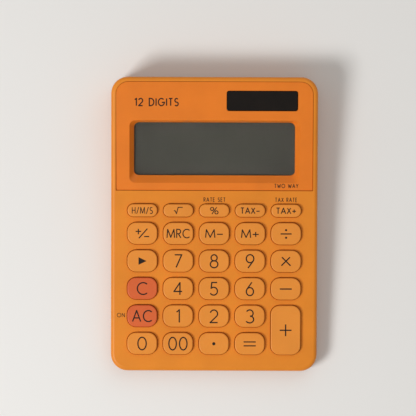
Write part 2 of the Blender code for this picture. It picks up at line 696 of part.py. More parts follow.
def make_case_screws():
    names = ("case_screw_front_left", "case_screw_rear_left",
             "case_screw_front_right", "case_screw_rear_right")
    for name, at in zip(names, boss_places()):
        make_screw(name, at, SCREW_SEAT - SCREW_HEAD_HEIGHT, SCREW_HEAD_HEIGHT)


def make_battery():
    cover = upright("battery_cover", bay_outline(0, COVER_CORNER), FOOT_PROUD, FOOT_PROUD + COVER_THICKNESS)
    sink = disc(SCREW_HEAD_RADIUS + FIT, 16, cover_screw_middle())
    cut(cover, upright("cover_sink", sink, FOOT_PROUD - MM, FOOT_PROUD + COVER_HEAD_HEIGHT + FIT))
    hole = disc(SCREW_RADIUS + FIT, 16, cover_screw_middle())
    cut(cover, upright("cover_hole", hole, FOOT_PROUD - MM, FOOT_PROUD + COVER_THICKNESS + MM))
    cover.data.materials.append(finish("rear_plastic", ORANGE, 0.5))
    make_screw("battery_cover_screw", cover_screw_middle(), FOOT_PROUD, COVER_HEAD_HEIGHT)
    groove = CELL_RADIUS - 0.5 * MM
    cell = stack("button_cell", [(disc(groove, 24), 0), (disc(CELL_RADIUS, 24), 0.5 * MM),
                                 (disc(CELL_RADIUS, 24), CELL_HEIGHT - 0.6 * MM),
                                 (disc(groove, 24), CELL_HEIGHT - 0.6 * MM), (disc(groove, 24), CELL_HEIGHT)],
                 None, (*cell_middle(), CELL_BOTTOM))
    cell.data.materials.append(finish("cell_steel", (0.6, 0.6, 0.6), 0.25, 1.0))
    smooth(cell)


def make_contacts():
    """Both contacts are bent strips, drawn in side view along X and as wide as a tab."""
    over, beside = contact_slots()
    metal = finish("contact_nickel", (0.55, 0.52, 0.47), 0.3, 1.0)
    half = CONTACT_THICKNESS / 2
    tab_top = BAY_TOP + CONTACT_TAB
    leaf = BAY_CEILING - FIT
    x = over[0]
    points = [(x + half, tab_top), (x - half, tab_top), (x - half, leaf),
              (x - CELL_RADIUS, leaf), (x - CELL_RADIUS, leaf - CONTACT_THICKNESS),
              (x + half, leaf - CONTACT_THICKNESS)]
    minus = strip("battery_contact_minus", points, over[1])
    x = beside[0]
    low = CELL_BOTTOM + MM
    plus = strip("battery_contact_plus", [(x + half, tab_top), (x - half, tab_top),
                                          (x - half, low), (x + half, low)], beside[1])
    minus.data.materials.append(metal)
    plus.data.materials.append(metal)


def strip(name, points, y):
    """A solid drawn in front view (x, z), as wide as a contact along Y."""
    bm = bmesh.new()
    near = [bm.verts.new((x, y - CONTACT_WIDTH / 2, z)) for x, z in points]
    far = [bm.verts.new((x, y + CONTACT_WIDTH / 2, z)) for x, z in points]
    join_rings(bm, near, far)
    bm.faces.new(near)
    bm.faces.new(reversed(far))
    return place(name, bm)


# ---- wiring --------------------------------------------------------------------------------

def on_deck(x, y, depth):
    """A place under the deck, in the housing's frame."""
    spot = Matrix.Rotation(DECK_TILT, 3, "X") @ Vector((x, y, -depth))
    return spot + Vector((0, FRONT, FRONT_HEIGHT))


def on_panel(x, y, depth):
    spot = Matrix.Rotation(PANEL_TILT, 3, "X") @ Vector((x, y, -depth))
    return spot + Vector((0, PANEL_Y, PANEL_FRONT_HEIGHT))


def smooth_path(points, steps):
    """Points along a smooth curve through the given ones."""
    padded = [points[0] * 2 - points[1], *points, points[-1] * 2 - points[-2]]
    path = []
    for a, b, c, d in zip(padded, padded[1:], padded[2:], padded[3:]):
        for step in range(steps):
            t = step / steps
            path.append(0.5 * (2 * b + (c - a) * t + (2 * a - 5 * b + 4 * c - d) * t ** 2
                               + (3 * b - a - 3 * c + d) * t ** 3))
    return path + [points[-1]]


def make_lead(name, points, colour):
    curve = bpy.data.curves.new(name, "CURVE")
    curve.dimensions = "3D"
    path = smooth_path([Vector(p) for p in points], 4)
    spline = curve.splines.new("POLY")
    spline.points.add(len(path) - 1)
    for point, at in zip(spline.points, path):
        point.co = (*at, 1.0)
    curve.bevel_depth = LEAD_RADIUS
    curve.bevel_resolution = 2
    curve.use_fill_caps = True
    lead = bpy.data.objects.new(name, curve)
    bpy.context.collection.objects.link(lead)
    curve.materials.append(finish(f"{name}_vinyl", colour, 0.45))


def make_leads(solar_underside):
    """Four leads, each up or down to the underside of the board's rear edge."""
    _, length = panel_outline(0)
    solar_y = length + RIM - SOLAR_REAR_MARGIN - SOLAR_LENGTH / 2
    solar_x = BODY_WIDTH / 2 - SOLAR_SIDE_MARGIN - SOLAR_WIDTH / 2
    clear = GLASS_DEPTH + GLASS_THICKNESS + 2 * MM
    runs = (("solar_lead_red", 6 * MM, 20 * MM, (0.5, 0.02, 0.02)),
            ("solar_lead_black", 9 * MM, 23 * MM, (0.01, 0.01, 0.01)))
    for name, offset, board_x, colour in runs:
        x = solar_x + offset
        start = on_panel(x, solar_y, -solar_underside + FIT + LEAD_RADIUS)
        points = (start, on_panel(x, solar_y - 2 * MM, clear - 2 * MM),
                  on_panel(x - MM, solar_y - 6 * MM, clear + MM),
                  on_panel(x - 3 * MM, RECESS_FRONT_MARGIN + RECESS_LENGTH - 6 * MM, clear + MM),
                  on_panel((x + board_x) / 2, RECESS_FRONT_MARGIN + RECESS_LENGTH / 2, clear + MM),
                  on_panel(board_x, RECESS_FRONT_MARGIN, clear + 0.5 * MM),
                  on_deck(board_x, BOARD_END - MM, BOARD_UNDERSIDE + FIT + 2 * LEAD_RADIUS),
                  on_deck(board_x, BOARD_END - 3 * MM, BOARD_UNDERSIDE + FIT + LEAD_RADIUS))
        make_lead(name, points, colour)
    over, beside = contact_slots()
    above = BAY_TOP + CONTACT_TAB + FIT + LEAD_RADIUS
    over_roof = BAY_TOP + 2 * FIT + LEAD_RADIUS
    runs = (("battery_lead_black", over[0], -19 * MM, (0.01, 0.01, 0.01)),
            ("battery_lead_red", beside[0], -22 * MM, (0.5, 0.02, 0.02)))
    for name, x, board_x, colour in runs:
        points = ((x, BAY_Y + MM, above), (x, BAY_Y - 2 * MM, above), (x, BAY_Y - 5 * MM, over_roof),
                  (x, BAY_Y - 7.5 * MM, over_roof), (x, BAY_Y - 12 * MM, over_roof - 3 * MM),
                  (x, BAY_Y - 20 * MM, 7 * MM),
                  (board_x, BAY_Y - 30 * MM, 6 * MM),
                  on_deck(board_x, BOARD_END - MM, BOARD_UNDERSIDE + FIT + 2 * LEAD_RADIUS),
                  on_deck(board_x, BOARD_END - 3 * MM, BOARD_UNDERSIDE + FIT + LEAD_RADIUS))
        make_lead(name, points, colour)


def make_flex():
    """The film cable: from the top of the board's rear edge, under the holder, to the glass."""
    lift = FLEX_THICKNESS / 2 + FIT
    holder_front = RECESS_FRONT_MARGIN + SLOPE_FRONT - LENS_LAP - FIT - HOLDER_BAR
    under = HOLDER_DEPTH + HOLDER_HEIGHT + lift
    glass = GLASS_DEPTH + GLASS_THICKNESS + lift
    route = [on_deck(0, BOARD_END - FLEX_LANDING + 2 * FIT, BOARD_TOP - lift),
             on_deck(0, BOARD_END, BOARD_TOP - lift),
             on_panel(0, holder_front, max(under, glass)),
             on_panel(0, holder_front + HOLDER_BAR + 2 * FIT, max(under, glass)),
             on_panel(0, holder_front + HOLDER_BAR + 4 * MM, glass)]
    half = FLEX_THICKNESS / 2
    points = [(p.y, p.z + half) for p in route] + [(p.y, p.z - half) for p in reversed(route)]
    flex = side_profile("lcd_flex", points, FLEX_WIDTH)
    flex.data.materials.append(finish("film_amber", (0.45, 0.2, 0.03), 0.3))


def build():
    clear_scene()
    deck = frame("deck_slope", (0, FRONT, FRONT_HEIGHT), DECK_TILT)
    panel = frame("panel_slope", (0, PANEL_Y, PANEL_FRONT_HEIGHT), PANEL_TILT)
    make_front_shell(deck, panel)
    make_display_panel(panel)
    make_display(panel)
    solar_underside = make_solar(panel)
    make_keys(deck)
    make_keypad(deck)
    make_board(deck)
    make_rear_case()
    make_feet_and_label()
    make_case_screws()
    make_battery()
    make_contacts()
    make_leads(solar_underside)
    make_flex()
    bpy.context.view_layer.update()


build()
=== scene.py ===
"""Desk calculator, made piece by piece round its engineering model, in the order of assembly."""
import json
import math

import bmesh
import bpy
from mathutils import Matrix, Vector


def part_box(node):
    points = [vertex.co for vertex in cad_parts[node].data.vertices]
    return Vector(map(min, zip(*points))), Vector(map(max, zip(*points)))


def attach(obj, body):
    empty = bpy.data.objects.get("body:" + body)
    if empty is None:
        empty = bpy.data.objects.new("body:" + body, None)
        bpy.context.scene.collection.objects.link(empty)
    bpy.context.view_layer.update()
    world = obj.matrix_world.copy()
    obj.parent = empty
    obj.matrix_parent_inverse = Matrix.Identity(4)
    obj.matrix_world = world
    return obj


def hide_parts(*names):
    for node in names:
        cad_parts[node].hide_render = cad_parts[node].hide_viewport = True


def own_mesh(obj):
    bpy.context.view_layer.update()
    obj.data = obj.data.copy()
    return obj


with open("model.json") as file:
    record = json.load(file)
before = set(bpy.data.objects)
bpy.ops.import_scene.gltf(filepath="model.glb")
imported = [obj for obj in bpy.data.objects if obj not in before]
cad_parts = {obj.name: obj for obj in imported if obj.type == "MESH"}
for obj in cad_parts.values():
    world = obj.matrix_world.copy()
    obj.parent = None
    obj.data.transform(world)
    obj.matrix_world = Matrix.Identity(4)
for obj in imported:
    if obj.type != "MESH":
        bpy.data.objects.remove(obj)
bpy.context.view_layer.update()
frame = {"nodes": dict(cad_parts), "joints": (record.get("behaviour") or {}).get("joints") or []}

MM = 0.001


# ---- Front shell -----------------------------------------------------------------------------
# Injection-moulded orange plastic: the key deck, its side walls and a rim round the display.
# Its skin is finely spark-eroded, and the edges of the key openings are softened by the tool.

SHELL_WALL = 1.8 * MM
SHELL_EDGE = 2.0 * MM
SHELL_CORNER = 8.5 * MM
RIM_DROP = 0.01 * MM           # of the rim's highest line under the engineering model's
OPENING_GAP = 0.24 * MM        # round a key
OPENING_FLARE = 0.14 * MM
KEY_FLANGE = 0.8 * MM
KEY_CORNER = 4.5 * MM
ABOVE_ALL = 40 * MM            # a height over all of the calculator
LEVEL = 0.005 * MM             # that points may differ in height and still lie level
DECK_ORANGE = (0.75, 0.235, 0.014)


def select(*pieces):
    """Selects only these pieces, with the first of them active."""
    bpy.ops.object.select_all(action="DESELECT")
    for piece in pieces:
        piece.select_set(True)
    bpy.context.view_layer.objects.active = pieces[0]


def pick(piece, kind, test):
    """Opens the piece for editing with only the edges or faces selected that pass the test."""
    select(piece)
    bpy.ops.object.mode_set(mode="EDIT")
    bpy.ops.mesh.select_mode(type=kind)
    bpy.ops.mesh.select_all(action="DESELECT")
    mesh = bmesh.from_edit_mesh(piece.data)
    for item in (mesh.edges if kind == "EDGE" else mesh.faces):
        if test(item):
            item.select_set(True)
    bmesh.update_edit_mesh(piece.data)


def done():
    bpy.ops.object.mode_set(mode="OBJECT")


def block(name, low, high):
    """A box between two corners, to be shaped further."""
    bpy.ops.object.select_all(action="DESELECT")
    middle = [(a + b) / 2 for a, b in zip(low, high)]
    bpy.ops.mesh.primitive_cube_add(size=1, location=middle, scale=[b - a for a, b in zip(low, high)])
    piece = bpy.context.object
    piece.name = name
    bpy.ops.object.transform_apply(location=True, rotation=True, scale=True)
    return piece


def plan_block(name, box, grow, bottom, top):
    """A block with the plan of a box, grown on every side."""
    low, high = box
    return block(name, (low.x - grow, low.y - grow, bottom), (high.x + grow, high.y + grow, top))


def is_upright(edge):
    run = edge.verts[1].co - edge.verts[0].co
    return abs(run.z) > 0.99 * run.length


def at_height(*heights):
    """A test for edges or faces that lie level at one of the heights."""
    return lambda item: any(all(abs(v.co.z - height) < LEVEL for v in item.verts) for height in heights)


def round_uprights(piece, radius, segments):
    pick(piece, "EDGE", is_upright)
    bpy.ops.mesh.bevel(offset=radius, segments=segments, affect="EDGES")
    done()


def round_edges(piece, test, radius, segments):
    pick(piece, "EDGE", test)
    bpy.ops.mesh.bevel(offset=radius, segments=segments, affect="EDGES")
    done()


def modify(piece, kind, **settings):
    """Adds a modifier and applies it."""
    bpy.context.view_layer.objects.active = piece
    modifier = piece.modifiers.new(kind.lower(), kind)
    for key, value in settings.items():
        setattr(modifier, key, value)
    bpy.ops.object.modifier_apply(modifier=modifier.name)


def cut(piece, cutter, operation="DIFFERENCE"):
    modify(piece, "BOOLEAN", operation=operation, solver="EXACT", object=cutter)
    bpy.data.objects.remove(cutter)


def join(pieces, name):
    select(*pieces)
    bpy.ops.object.join()
    pieces[0].name = name
    return pieces[0]


def biggest_face(node, guess=None):
    """The middle and normal of a node's largest face that looks up, or that looks along the guess."""
    best = None
    for face in frame["nodes"][node].data.polygons:
        fits = face.normal.z > 0.9 if guess is None else face.normal.dot(guess) > 0.99999
        if fits and (best is None or face.area > best.area):
            best = face
    return best.center.copy(), best.normal.copy()


def slope_frame(point, normal, y):
    """Axes on a sloping face: x across, y up the slope from the given y, z out of it."""
    z = point.z - (y - point.y) * normal.y / normal.z
    tilt = math.atan2(-normal.y, normal.z)
    return Matrix.Translation((0, y, z)) @ Matrix.Rotation(tilt, 4, "X")


def box_on(slope, node):
    """Lowest and highest corners of a node, measured along a slope's axes."""
    inverse = slope.inverted()
    points = [inverse @ v.co for v in frame["nodes"][node].data.vertices]
    return (Vector([min(p[i] for p in points) for i in range(3)]),
            Vector([max(p[i] for p in points) for i in range(3)]))


def put_on(slope, piece):
    """Moves a piece made level onto a slope, with its place in its mesh."""
    piece.matrix_world = slope @ piece.matrix_world
    select(piece)
    bpy.ops.object.transform_apply(location=True, rotation=True, scale=True)


def shade(piece, degrees=35, flat=None):
    """Smooths a piece up to an angle, with a hard line round the faces that pass the test."""
    select(piece)
    bpy.ops.object.shade_smooth_by_angle(angle=math.radians(degrees))
    if flat is not None:
        pick(piece, "FACE", flat)
        bpy.ops.mesh.region_to_loop()
        bpy.ops.mesh.mark_sharp()
        done()
    modify(piece, "WEIGHTED_NORMAL", mode="FACE_AREA", keep_sharp=True, weight=60)


def paint(piece, material):
    piece.data.materials.clear()
    piece.data.materials.append(material)


def settle(piece, body, slot, material, *nodes):
    """Gives a finished piece its finish and the body it moves with, and hides the nodes that it stands for.
    """
    paint(piece, material)
    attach(piece, body)
    if nodes:
        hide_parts(*nodes)
    return piece


def new_material(name):
    material = bpy.data.materials.new(name)
    material.use_nodes = True
    return material, material.node_tree.nodes["Principled BSDF"]


def feed(node, socket, output):
    """Drives a node's input with another node's output."""
    node.id_data.links.new(output, node.inputs[socket])


def noise(material, scale, detail=3.0, stretch=(1, 1, 1)):
    """A noise pattern in the piece's own space, in features of 1 / scale metres."""
    nodes = material.node_tree.nodes
    place = nodes.new("ShaderNodeTexCoord")
    mapping = nodes.new("ShaderNodeMapping")
    mapping.inputs["Scale"].default_value = stretch
    texture = nodes.new("ShaderNodeTexNoise")
    texture.inputs["Scale"].default_value = scale
    texture.inputs["Detail"].default_value = detail
    feed(mapping, "Vector", place.outputs["Object"])
    feed(texture, "Vector", mapping.outputs["Vector"])
    return texture.outputs["Fac"]


def spread(material, source, low, high):
    """Maps a pattern onto a range of values."""
    node = material.node_tree.nodes.new("ShaderNodeMapRange")
    node.inputs["From Min"].default_value = 0.3
    node.inputs["From Max"].default_value = 0.7
    node.inputs["To Min"].default_value = low
    node.inputs["To Max"].default_value = high
    feed(node, "Value", source)
    return node.outputs["Result"]


def tint(material, source, first, second):
    """A colour that drifts between two as a pattern says."""
    node = material.node_tree.nodes.new("ShaderNodeMix")
    node.data_type = "RGBA"
    node.inputs["A"].default_value = (*first, 1)
    node.inputs["B"].default_value = (*second, 1)
    feed(node, "Factor", spread(material, source, 0, 1))
    return node.outputs["Result"]


def emboss(material, shader, source, depth, strength=1.0):
    """Raises the surface by up to depth metres where the pattern is bright."""
    node = material.node_tree.nodes.new("ShaderNodeBump")
    node.inputs["Distance"].default_value = depth
    node.inputs["Strength"].default_value = strength
    feed(node, "Height", source)
    feed(shader, "Normal", node.outputs["Normal"])


def moulded(name, colour, roughness, grain=5200, depth=0.008 * MM, mottle=0.05):
    """Coloured moulding plastic: a faint flow mottle, and a fine grain left by the tool's surface."""
    material, shader = new_material(name)
    darker = [c * (1 - mottle) for c in colour]
    lighter = [min(1, c * (1 + mottle)) for c in colour]
    feed(shader, "Base Color", tint(material, noise(material, 60, 4), darker, lighter))
    rough = spread(material, noise(material, 900, 3), roughness - 0.05, roughness + 0.05)
    feed(shader, "Roughness", rough)
    shader.inputs["Specular IOR Level"].default_value = 0.32
    shader.inputs["Subsurface Weight"].default_value = 0.04
    shader.inputs["Subsurface Radius"].default_value = (1.0 * MM, 0.4 * MM, 0.1 * MM)
    emboss(material, shader, noise(material, grain, 2), depth)
    return material


key_joints = {j["child"]: j["name"] for j in frame["joints"] if j["name"].startswith("key_")}
press = Vector(frame["joints"][1]["axis"])
deck_point, deck_normal = biggest_face("front_shell", -press)
shell_low, shell_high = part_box("front_shell")
DECK = slope_frame(deck_point, deck_normal, shell_low.y)
panel_point, panel_normal = biggest_face("display_panel")
panel_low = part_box("display_panel")[0]
PANEL = slope_frame(panel_point, panel_normal, panel_low.y)


def key_size(node):
    """Middle, width and length of a key on the deck, and the heights of its foot and its top."""
    low, high = box_on(DECK, node)
    middle = (low + high) / 2
    return middle, high.x - low.x - 2 * KEY_FLANGE, high.y - low.y - 2 * KEY_FLANGE, low.z, high.z


def height_at(slope, y):
    """The height of a sloping face over a place on the table."""
    point = slope.translation
    normal = slope.to_3x3().col[2]
    return point.z - (y - point.y) * normal.y / normal.z


panel_rear = shell_high.y - SHELL_EDGE
STEP_Y = panel_low.y - 1.3 * MM        # where the deck ends
step_height = height_at(DECK, STEP_Y)
rim_slope = (shell_high.z - RIM_DROP - step_height) / (panel_rear - STEP_Y)


def housing_top(y):
    """The top of the housing: the deck, then the steeper rim round the display panel."""
    if y < STEP_Y:
        return height_at(DECK, y)
    return step_height + (y - STEP_Y) * rim_slope


def housing_block(name, inset, bottom, lower_by):
    """A block with the housing's plan, its top laid on the two slopes."""
    piece = plan_block(name, (shell_low, shell_high), -inset, bottom, ABOVE_ALL)
    round_uprights(piece, SHELL_CORNER - inset, 12)
    pick(piece, "FACE", lambda face: True)
    bpy.ops.mesh.bisect(plane_co=(0, STEP_Y, 0), plane_no=(0, 1, 0))
    done()
    for vertex in piece.data.vertices:
        if vertex.co.z > ABOVE_ALL - MM:
            vertex.co.z = housing_top(vertex.co.y) - lower_by
    return piece


shell = housing_block("front_shell_moulding", 0, shell_low.z, 0)


def on_top_outline(edge):
    """Edges round the top, but not the valley where its two slopes meet."""
    level = all(v.co.z > shell_low.z + MM for v in edge.verts)
    across = abs(edge.verts[0].co.x - edge.verts[1].co.x) > 80 * MM
    in_valley = across and abs(edge.verts[0].co.y - STEP_Y) < 0.1 * MM
    return level and not in_valley


round_edges(shell, on_top_outline, SHELL_EDGE, 7)
cut(shell, housing_block("shell_hollow", SHELL_WALL, shell_low.z - 2 * MM, 3.9 * MM))
hollow = block("deck_hollow", (shell_low.x + SHELL_WALL, SHELL_WALL, -9 * MM),
               (shell_high.x - SHELL_WALL, (STEP_Y - shell_low.y) - 2 * MM, -SHELL_WALL))
round_uprights(hollow, 3 * MM, 4)
put_on(DECK, hollow)
cut(shell, hollow)


def key_prism(name, middle, width, length, grow, bottom, top, segments=8):
    """A block with a key's rounded plan."""
    half = Vector((width / 2 + grow, length / 2 + grow, 0))
    piece = block(name, (middle.x - half.x, middle.y - half.y, bottom),
                  (middle.x + half.x, middle.y + half.y, top))
    round_uprights(piece, min(KEY_CORNER + grow, half.y * 0.96), segments)
    return piece


def pull(rise):
    """Draws the selected faces out along z."""
    bpy.ops.mesh.extrude_region_move(TRANSFORM_OT_translate={"value": (0, 0, rise)})


def flare(rise, width, length, by):
    """Draws the selected face out, and makes its new end wider on every side."""
    pull(rise)
    bpy.ops.transform.resize(value=(1 + 2 * by / width, 1 + 2 * by / length, 1))


openings = []
for node in key_joints:
    middle, width, length, foot, top = key_size(node)
    opening = key_prism(f"{node}_opening", middle, width, length, OPENING_GAP, -5 * MM, -OPENING_FLARE)
    pick(opening, "FACE", at_height(-OPENING_FLARE))
    flare(1.5 * OPENING_FLARE, width + 2 * OPENING_GAP, length + 2 * OPENING_GAP, OPENING_FLARE)
    done()
    openings.append(opening)
cutter = join(openings, "key_openings")
put_on(DECK, cutter)
cut(shell, cutter)

PANEL_EDGE_GAP = 0.15 * MM
PANEL_REACH = 0.5 * MM         # of the panel towards the keys
PANEL_CORNER = SHELL_CORNER - 2.2 * MM
panel_box = box_on(PANEL, "display_panel")
surround = box_on(PANEL, "lcd_glass")


def panel_plate(name, grow, bottom, top):
    """A block with the display panel's plan: square in front, rounded behind."""
    low, high = panel_box
    piece = block(name, (low.x - grow, low.y - PANEL_REACH - grow, bottom),
                  (high.x + grow, high.y + grow, top))
    round_edges(piece, lambda edge: is_upright(edge) and edge.verts[0].co.y > high.y - MM,
                PANEL_CORNER + grow, 12)
    round_edges(piece, lambda edge: is_upright(edge) and edge.verts[0].co.y < low.y + MM, 0.4 * MM, 3)
    return piece


rebate = panel_plate("panel_rebate", PANEL_EDGE_GAP, -2 * MM, 8 * MM)
put_on(PANEL, rebate)
cut(shell, rebate)
through = block("display_opening", (surround[0].x - 2.2 * MM, surround[0].y - 2.8 * MM, -9 * MM),
                (surround[1].x + 2.2 * MM, surround[1].y + MM, 2 * MM))
round_uprights(through, 4 * MM, 6)
put_on(PANEL, through)
cut(shell, through)
solar_box = box_on(PANEL, "solar_lens")
through = plan_block("solar_opening", solar_box, MM, -9 * MM, 2 * MM)
round_uprights(through, 2 * MM, 4)
put_on(PANEL, through)
cut(shell, through)
shade(shell)
deck_plastic = moulded("moulded_orange", DECK_ORANGE, 0.45)
settle(shell, "housing", "orange_plastic", deck_plastic, "front_shell")


# ---- Display panel ---------------------------------------------------------------------------
# A separate moulding of redder orange, dropped into a rebate behind the key deck. Its display
# surround is sunk with sloping walls. The prints on it are generic, in dark brown ink.

PANEL_THICKNESS = 1.7 * MM
PANEL_ORANGE = (0.77, 0.192, 0.011)
WINDOW_LAP = 1.4 * MM          # of the display glass under the surround's floor
WALL_LEANS = (2.3 * MM, 3.6 * MM, 1.3 * MM)     # the surround's walls: sides, front, rear
SURROUND_SKIN = 1.2 * MM
SURROUND_CORNER = 2.8 * MM
SOLAR_GAP = 0.3 * MM
INK = (0.014, 0.008, 0.005)
INK_HEIGHT = 0.012 * MM
INK_STEP = 0.0005 * MM         # each stroke lies this much over the last
SHARP_TURN = math.radians(35)
LETTER_SPACE = 0.25            # of a letter's height
PRINT_SPACE = 0.30

floor_low = Vector((surround[0].x + WINDOW_LAP, surround[0].y + WINDOW_LAP, surround[1].z + 1.6 * MM))
floor_high = Vector((surround[1].x - WINDOW_LAP, surround[1].y - WINDOW_LAP, floor_low.z))
mouth_low = Vector((floor_low.x - WALL_LEANS[0], floor_low.y - WALL_LEANS[1], 0))
mouth_high = Vector((floor_high.x + WALL_LEANS[0], floor_high.y + WALL_LEANS[2], 0))


def surround_mouth(bottom, top):
    """A cutter that narrows from the surround's mouth at the panel's face to its floor."""
    piece = plan_block("surround_mouth", (mouth_low, mouth_high), 0, bottom, top)
    round_uprights(piece, SURROUND_CORNER, 8)
    middle = (mouth_low + mouth_high) / 2
    reach = (mouth_high - mouth_low) / 2
    for vertex in piece.data.vertices:
        share = vertex.co.z / floor_low.z
        x = (vertex.co.x - middle.x) / reach.x
        y = (vertex.co.y - middle.y) / reach.y
        vertex.co.x -= x * share * WALL_LEANS[0]
        vertex.co.y -= y * share * (WALL_LEANS[2] if y > 0 else WALL_LEANS[1])
    return piece


panel = panel_plate("display_panel_moulding", 0, -PANEL_THICKNESS, 0)
round_edges(panel, at_height(0), 0.25 * MM, 3)
tub = plan_block("surround_tub", (mouth_low, mouth_high), SURROUND_SKIN, floor_low.z, -0.5 * MM)
round_uprights(tub, SURROUND_CORNER + SURROUND_SKIN, 8)
cut(panel, tub, "UNION")
cut(panel, surround_mouth(floor_low.z - MM, MM))
window = plan_block("solar_window", solar_box, SOLAR_GAP, -4 * MM, 2 * MM)
round_uprights(window, 1.3 * MM, 6)
cut(panel, window)
put_on(PANEL, panel)
shade(panel, 30)
panel_plastic = moulded("moulded_panel_orange", PANEL_ORANGE, 0.42, 6500, 0.005 * MM)
settle(panel, "housing", "panel_plastic", panel_plastic, "display_panel")


def arc(x, y, across, up, start, end):
    """Points along part of an oval, between two angles in degrees."""
    steps = max(3, round(abs(end - start) / 14))
    turns = [math.radians(start + (end - start) * n / steps) for n in range(steps + 1)]
    return [(x + across * math.cos(a), y + up * math.sin(a)) for a in turns]


# Each letter stands one unit high: its width, then the strokes that draw it
LETTERS = {
    " ": (0.34, []),
    "0": (0.66, [arc(0.33, 0.5, 0.33, 0.5, 0, 360)]),
    "1": (0.26, [[(0, 0.82), (0.24, 1), (0.24, 0)]]),
    "2": (0.60, [arc(0.3, 0.7, 0.29, 0.3, 165, -35) + [(0, 0), (0.6, 0)]]),
    "3": (0.56, [arc(0.27, 0.74, 0.25, 0.26, 150, -80), arc(0.27, 0.27, 0.29, 0.27, 85, -150)]),
    "4": (0.62, [[(0.45, 0), (0.45, 1), (0, 0.27), (0.62, 0.27)]]),
    "5": (0.60, [[(0.55, 1), (0.12, 1), (0.07, 0.55)] + arc(0.27, 0.31, 0.31, 0.31, 130, -150)]),
    "6": (0.60, [[(0.46, 1), (0.04, 0.46)], arc(0.3, 0.3, 0.3, 0.3, 0, 360)]),
    "7": (0.58, [[(0, 1), (0.58, 1), (0.12, 0)]]),
    "8": (0.60, [arc(0.3, 0.76, 0.24, 0.24, 0, 360), arc(0.3, 0.27, 0.3, 0.27, 0, 360)]),
    "9": (0.60, [[(0.14, 0), (0.56, 0.54)], arc(0.3, 0.7, 0.3, 0.3, 0, 360)]),
    "A": (0.78, [[(0, 0), (0.39, 1), (0.78, 0)], [(0.13, 0.33), (0.65, 0.33)]]),
    "C": (0.80, [arc(0.48, 0.5, 0.48, 0.5, 48, 312)]),
    "D": (0.68, [[(0, 0), (0, 1), (0.2, 1)] + arc(0.2, 0.5, 0.48, 0.5, 90, -90) + [(0, 0)]]),
    "E": (0.45, [[(0.45, 1), (0, 1), (0, 0), (0.45, 0)], [(0, 0.52), (0.42, 0.52)]]),
    "G": (0.90, [arc(0.46, 0.5, 0.45, 0.5, 45, 356) + [(0.52, 0.46)]]),
    "H": (0.60, [[(0, 0), (0, 1)], [(0.6, 0), (0.6, 1)], [(0, 0.52), (0.6, 0.52)]]),
    "I": (0.02, [[(0.01, 0), (0.01, 1)]]),
    "M": (0.92, [[(0, 0), (0.08, 1), (0.46, 0.06), (0.84, 1), (0.92, 0)]]),
    "N": (0.66, [[(0, 0), (0, 1), (0.66, 0), (0.66, 1)]]),
    "O": (0.98, [arc(0.49, 0.5, 0.49, 0.5, 0, 360)]),
    "R": (0.50, [[(0, 0), (0, 1), (0.22, 1)] + arc(0.22, 0.74, 0.25, 0.26, 90, -90) + [(0, 0.48)],
                 [(0.2, 0.48), (0.5, 0)]]),
    "S": (0.52, [arc(0.26, 0.745, 0.23, 0.255, 35, 262) + arc(0.26, 0.25, 0.26, 0.25, 80, -145)]),
    "T": (0.56, [[(0, 1), (0.56, 1)], [(0.28, 1), (0.28, 0)]]),
    "W": (1.04, [[(0, 1), (0.27, 0), (0.52, 0.8), (0.77, 0), (1.04, 1)]]),
    "X": (0.64, [[(0, 0), (0.6, 1)], [(0.04, 1), (0.64, 0)]]),
    "Y": (0.66, [[(0, 1), (0.33, 0.5), (0.66, 1)], [(0.33, 0.5), (0.33, 0)]]),
    "+": (0.62, [[(0, 0.43), (0.62, 0.43)], [(0.31, 0.12), (0.31, 0.74)]]),
    "-": (0.58, [[(0, 0.43), (0.58, 0.43)]]),
    "/": (0.42, [[(0, -0.04), (0.42, 1.04)]]),
    "%": (0.96, [arc(0.2, 0.76, 0.2, 0.24, 0, 360), arc(0.76, 0.24, 0.2, 0.24, 0, 360),
                 [(0.78, 1), (0.18, 0)]]),
    "root": (1.0, [[(0, 0.42), (0.12, 0.5), (0.29, 0), (0.48, 1), (1, 1)]]),
}


def written(text, height, width, space=LETTER_SPACE):
    """Strokes of a word round its middle, with its letters as wide as fills the width."""
    letters = [LETTERS[c] for c in ([text] if text in LETTERS else text)]
    gap = space * height
    stretch = (width - gap * (len(letters) - 1)) / sum(letter[0] for letter in letters)
    strokes, x = [], -width / 2
    for letter_width, letter in letters:
        for stroke in letter:
            strokes.append([(x + px * stretch, (py - 0.5) * height) for px, py in stroke])
        x += letter_width * stretch + gap
    return strokes


def turn_at(before, here, after):
    """How sharply a stroke turns at a point, in radians."""
    first = Vector(here) - Vector(before)
    return first.angle(Vector(after) - Vector(here))


def split_at_corners(stroke, half):
    """Cuts a stroke where it turns sharply, with the ends there long enough to fill the corner."""
    runs, run = [], [Vector(stroke[0])]
    for before, here, after in zip(stroke, stroke[1:], stroke[2:]):
        turn = turn_at(before, here, after)
        if turn < SHARP_TURN:
            run.append(Vector(here))
            continue
        reach = half * min(math.tan(turn / 2), math.sin(turn))
        into = (Vector(here) - Vector(before)).normalized()
        out = (Vector(after) - Vector(here)).normalized()
        runs.append(run + [Vector(here) + into * reach])
        run = [Vector(here) - out * reach]
    return runs + [run + [Vector(stroke[-1])]]


def ribbon(points, half, closed):
    """The two edges of a stroke, mitred where it turns."""
    edges = []
    for number, here in enumerate(points):
        before = points[number - 1] if number or closed else here
        after = points[(number + 1) % len(points)] if number < len(points) - 1 or closed else here
        into, out = (here - before).normalized(), (after - here).normalized()
        along = (into + out).normalized()
        mitre = 1 / max(0.5, along.dot(out if out.length else into))
        across = Vector((-along.y, along.x)) * half * mitre
        edges.append((here + across, here - across))
    return edges


def piece_of(name, mesh):
    """Turns a mesh under construction into a piece."""
    data = bpy.data.meshes.new(name)
    mesh.to_mesh(data)
    mesh.free()
    piece = bpy.data.objects.new(name, data)
    bpy.context.scene.collection.objects.link(piece)
    return piece


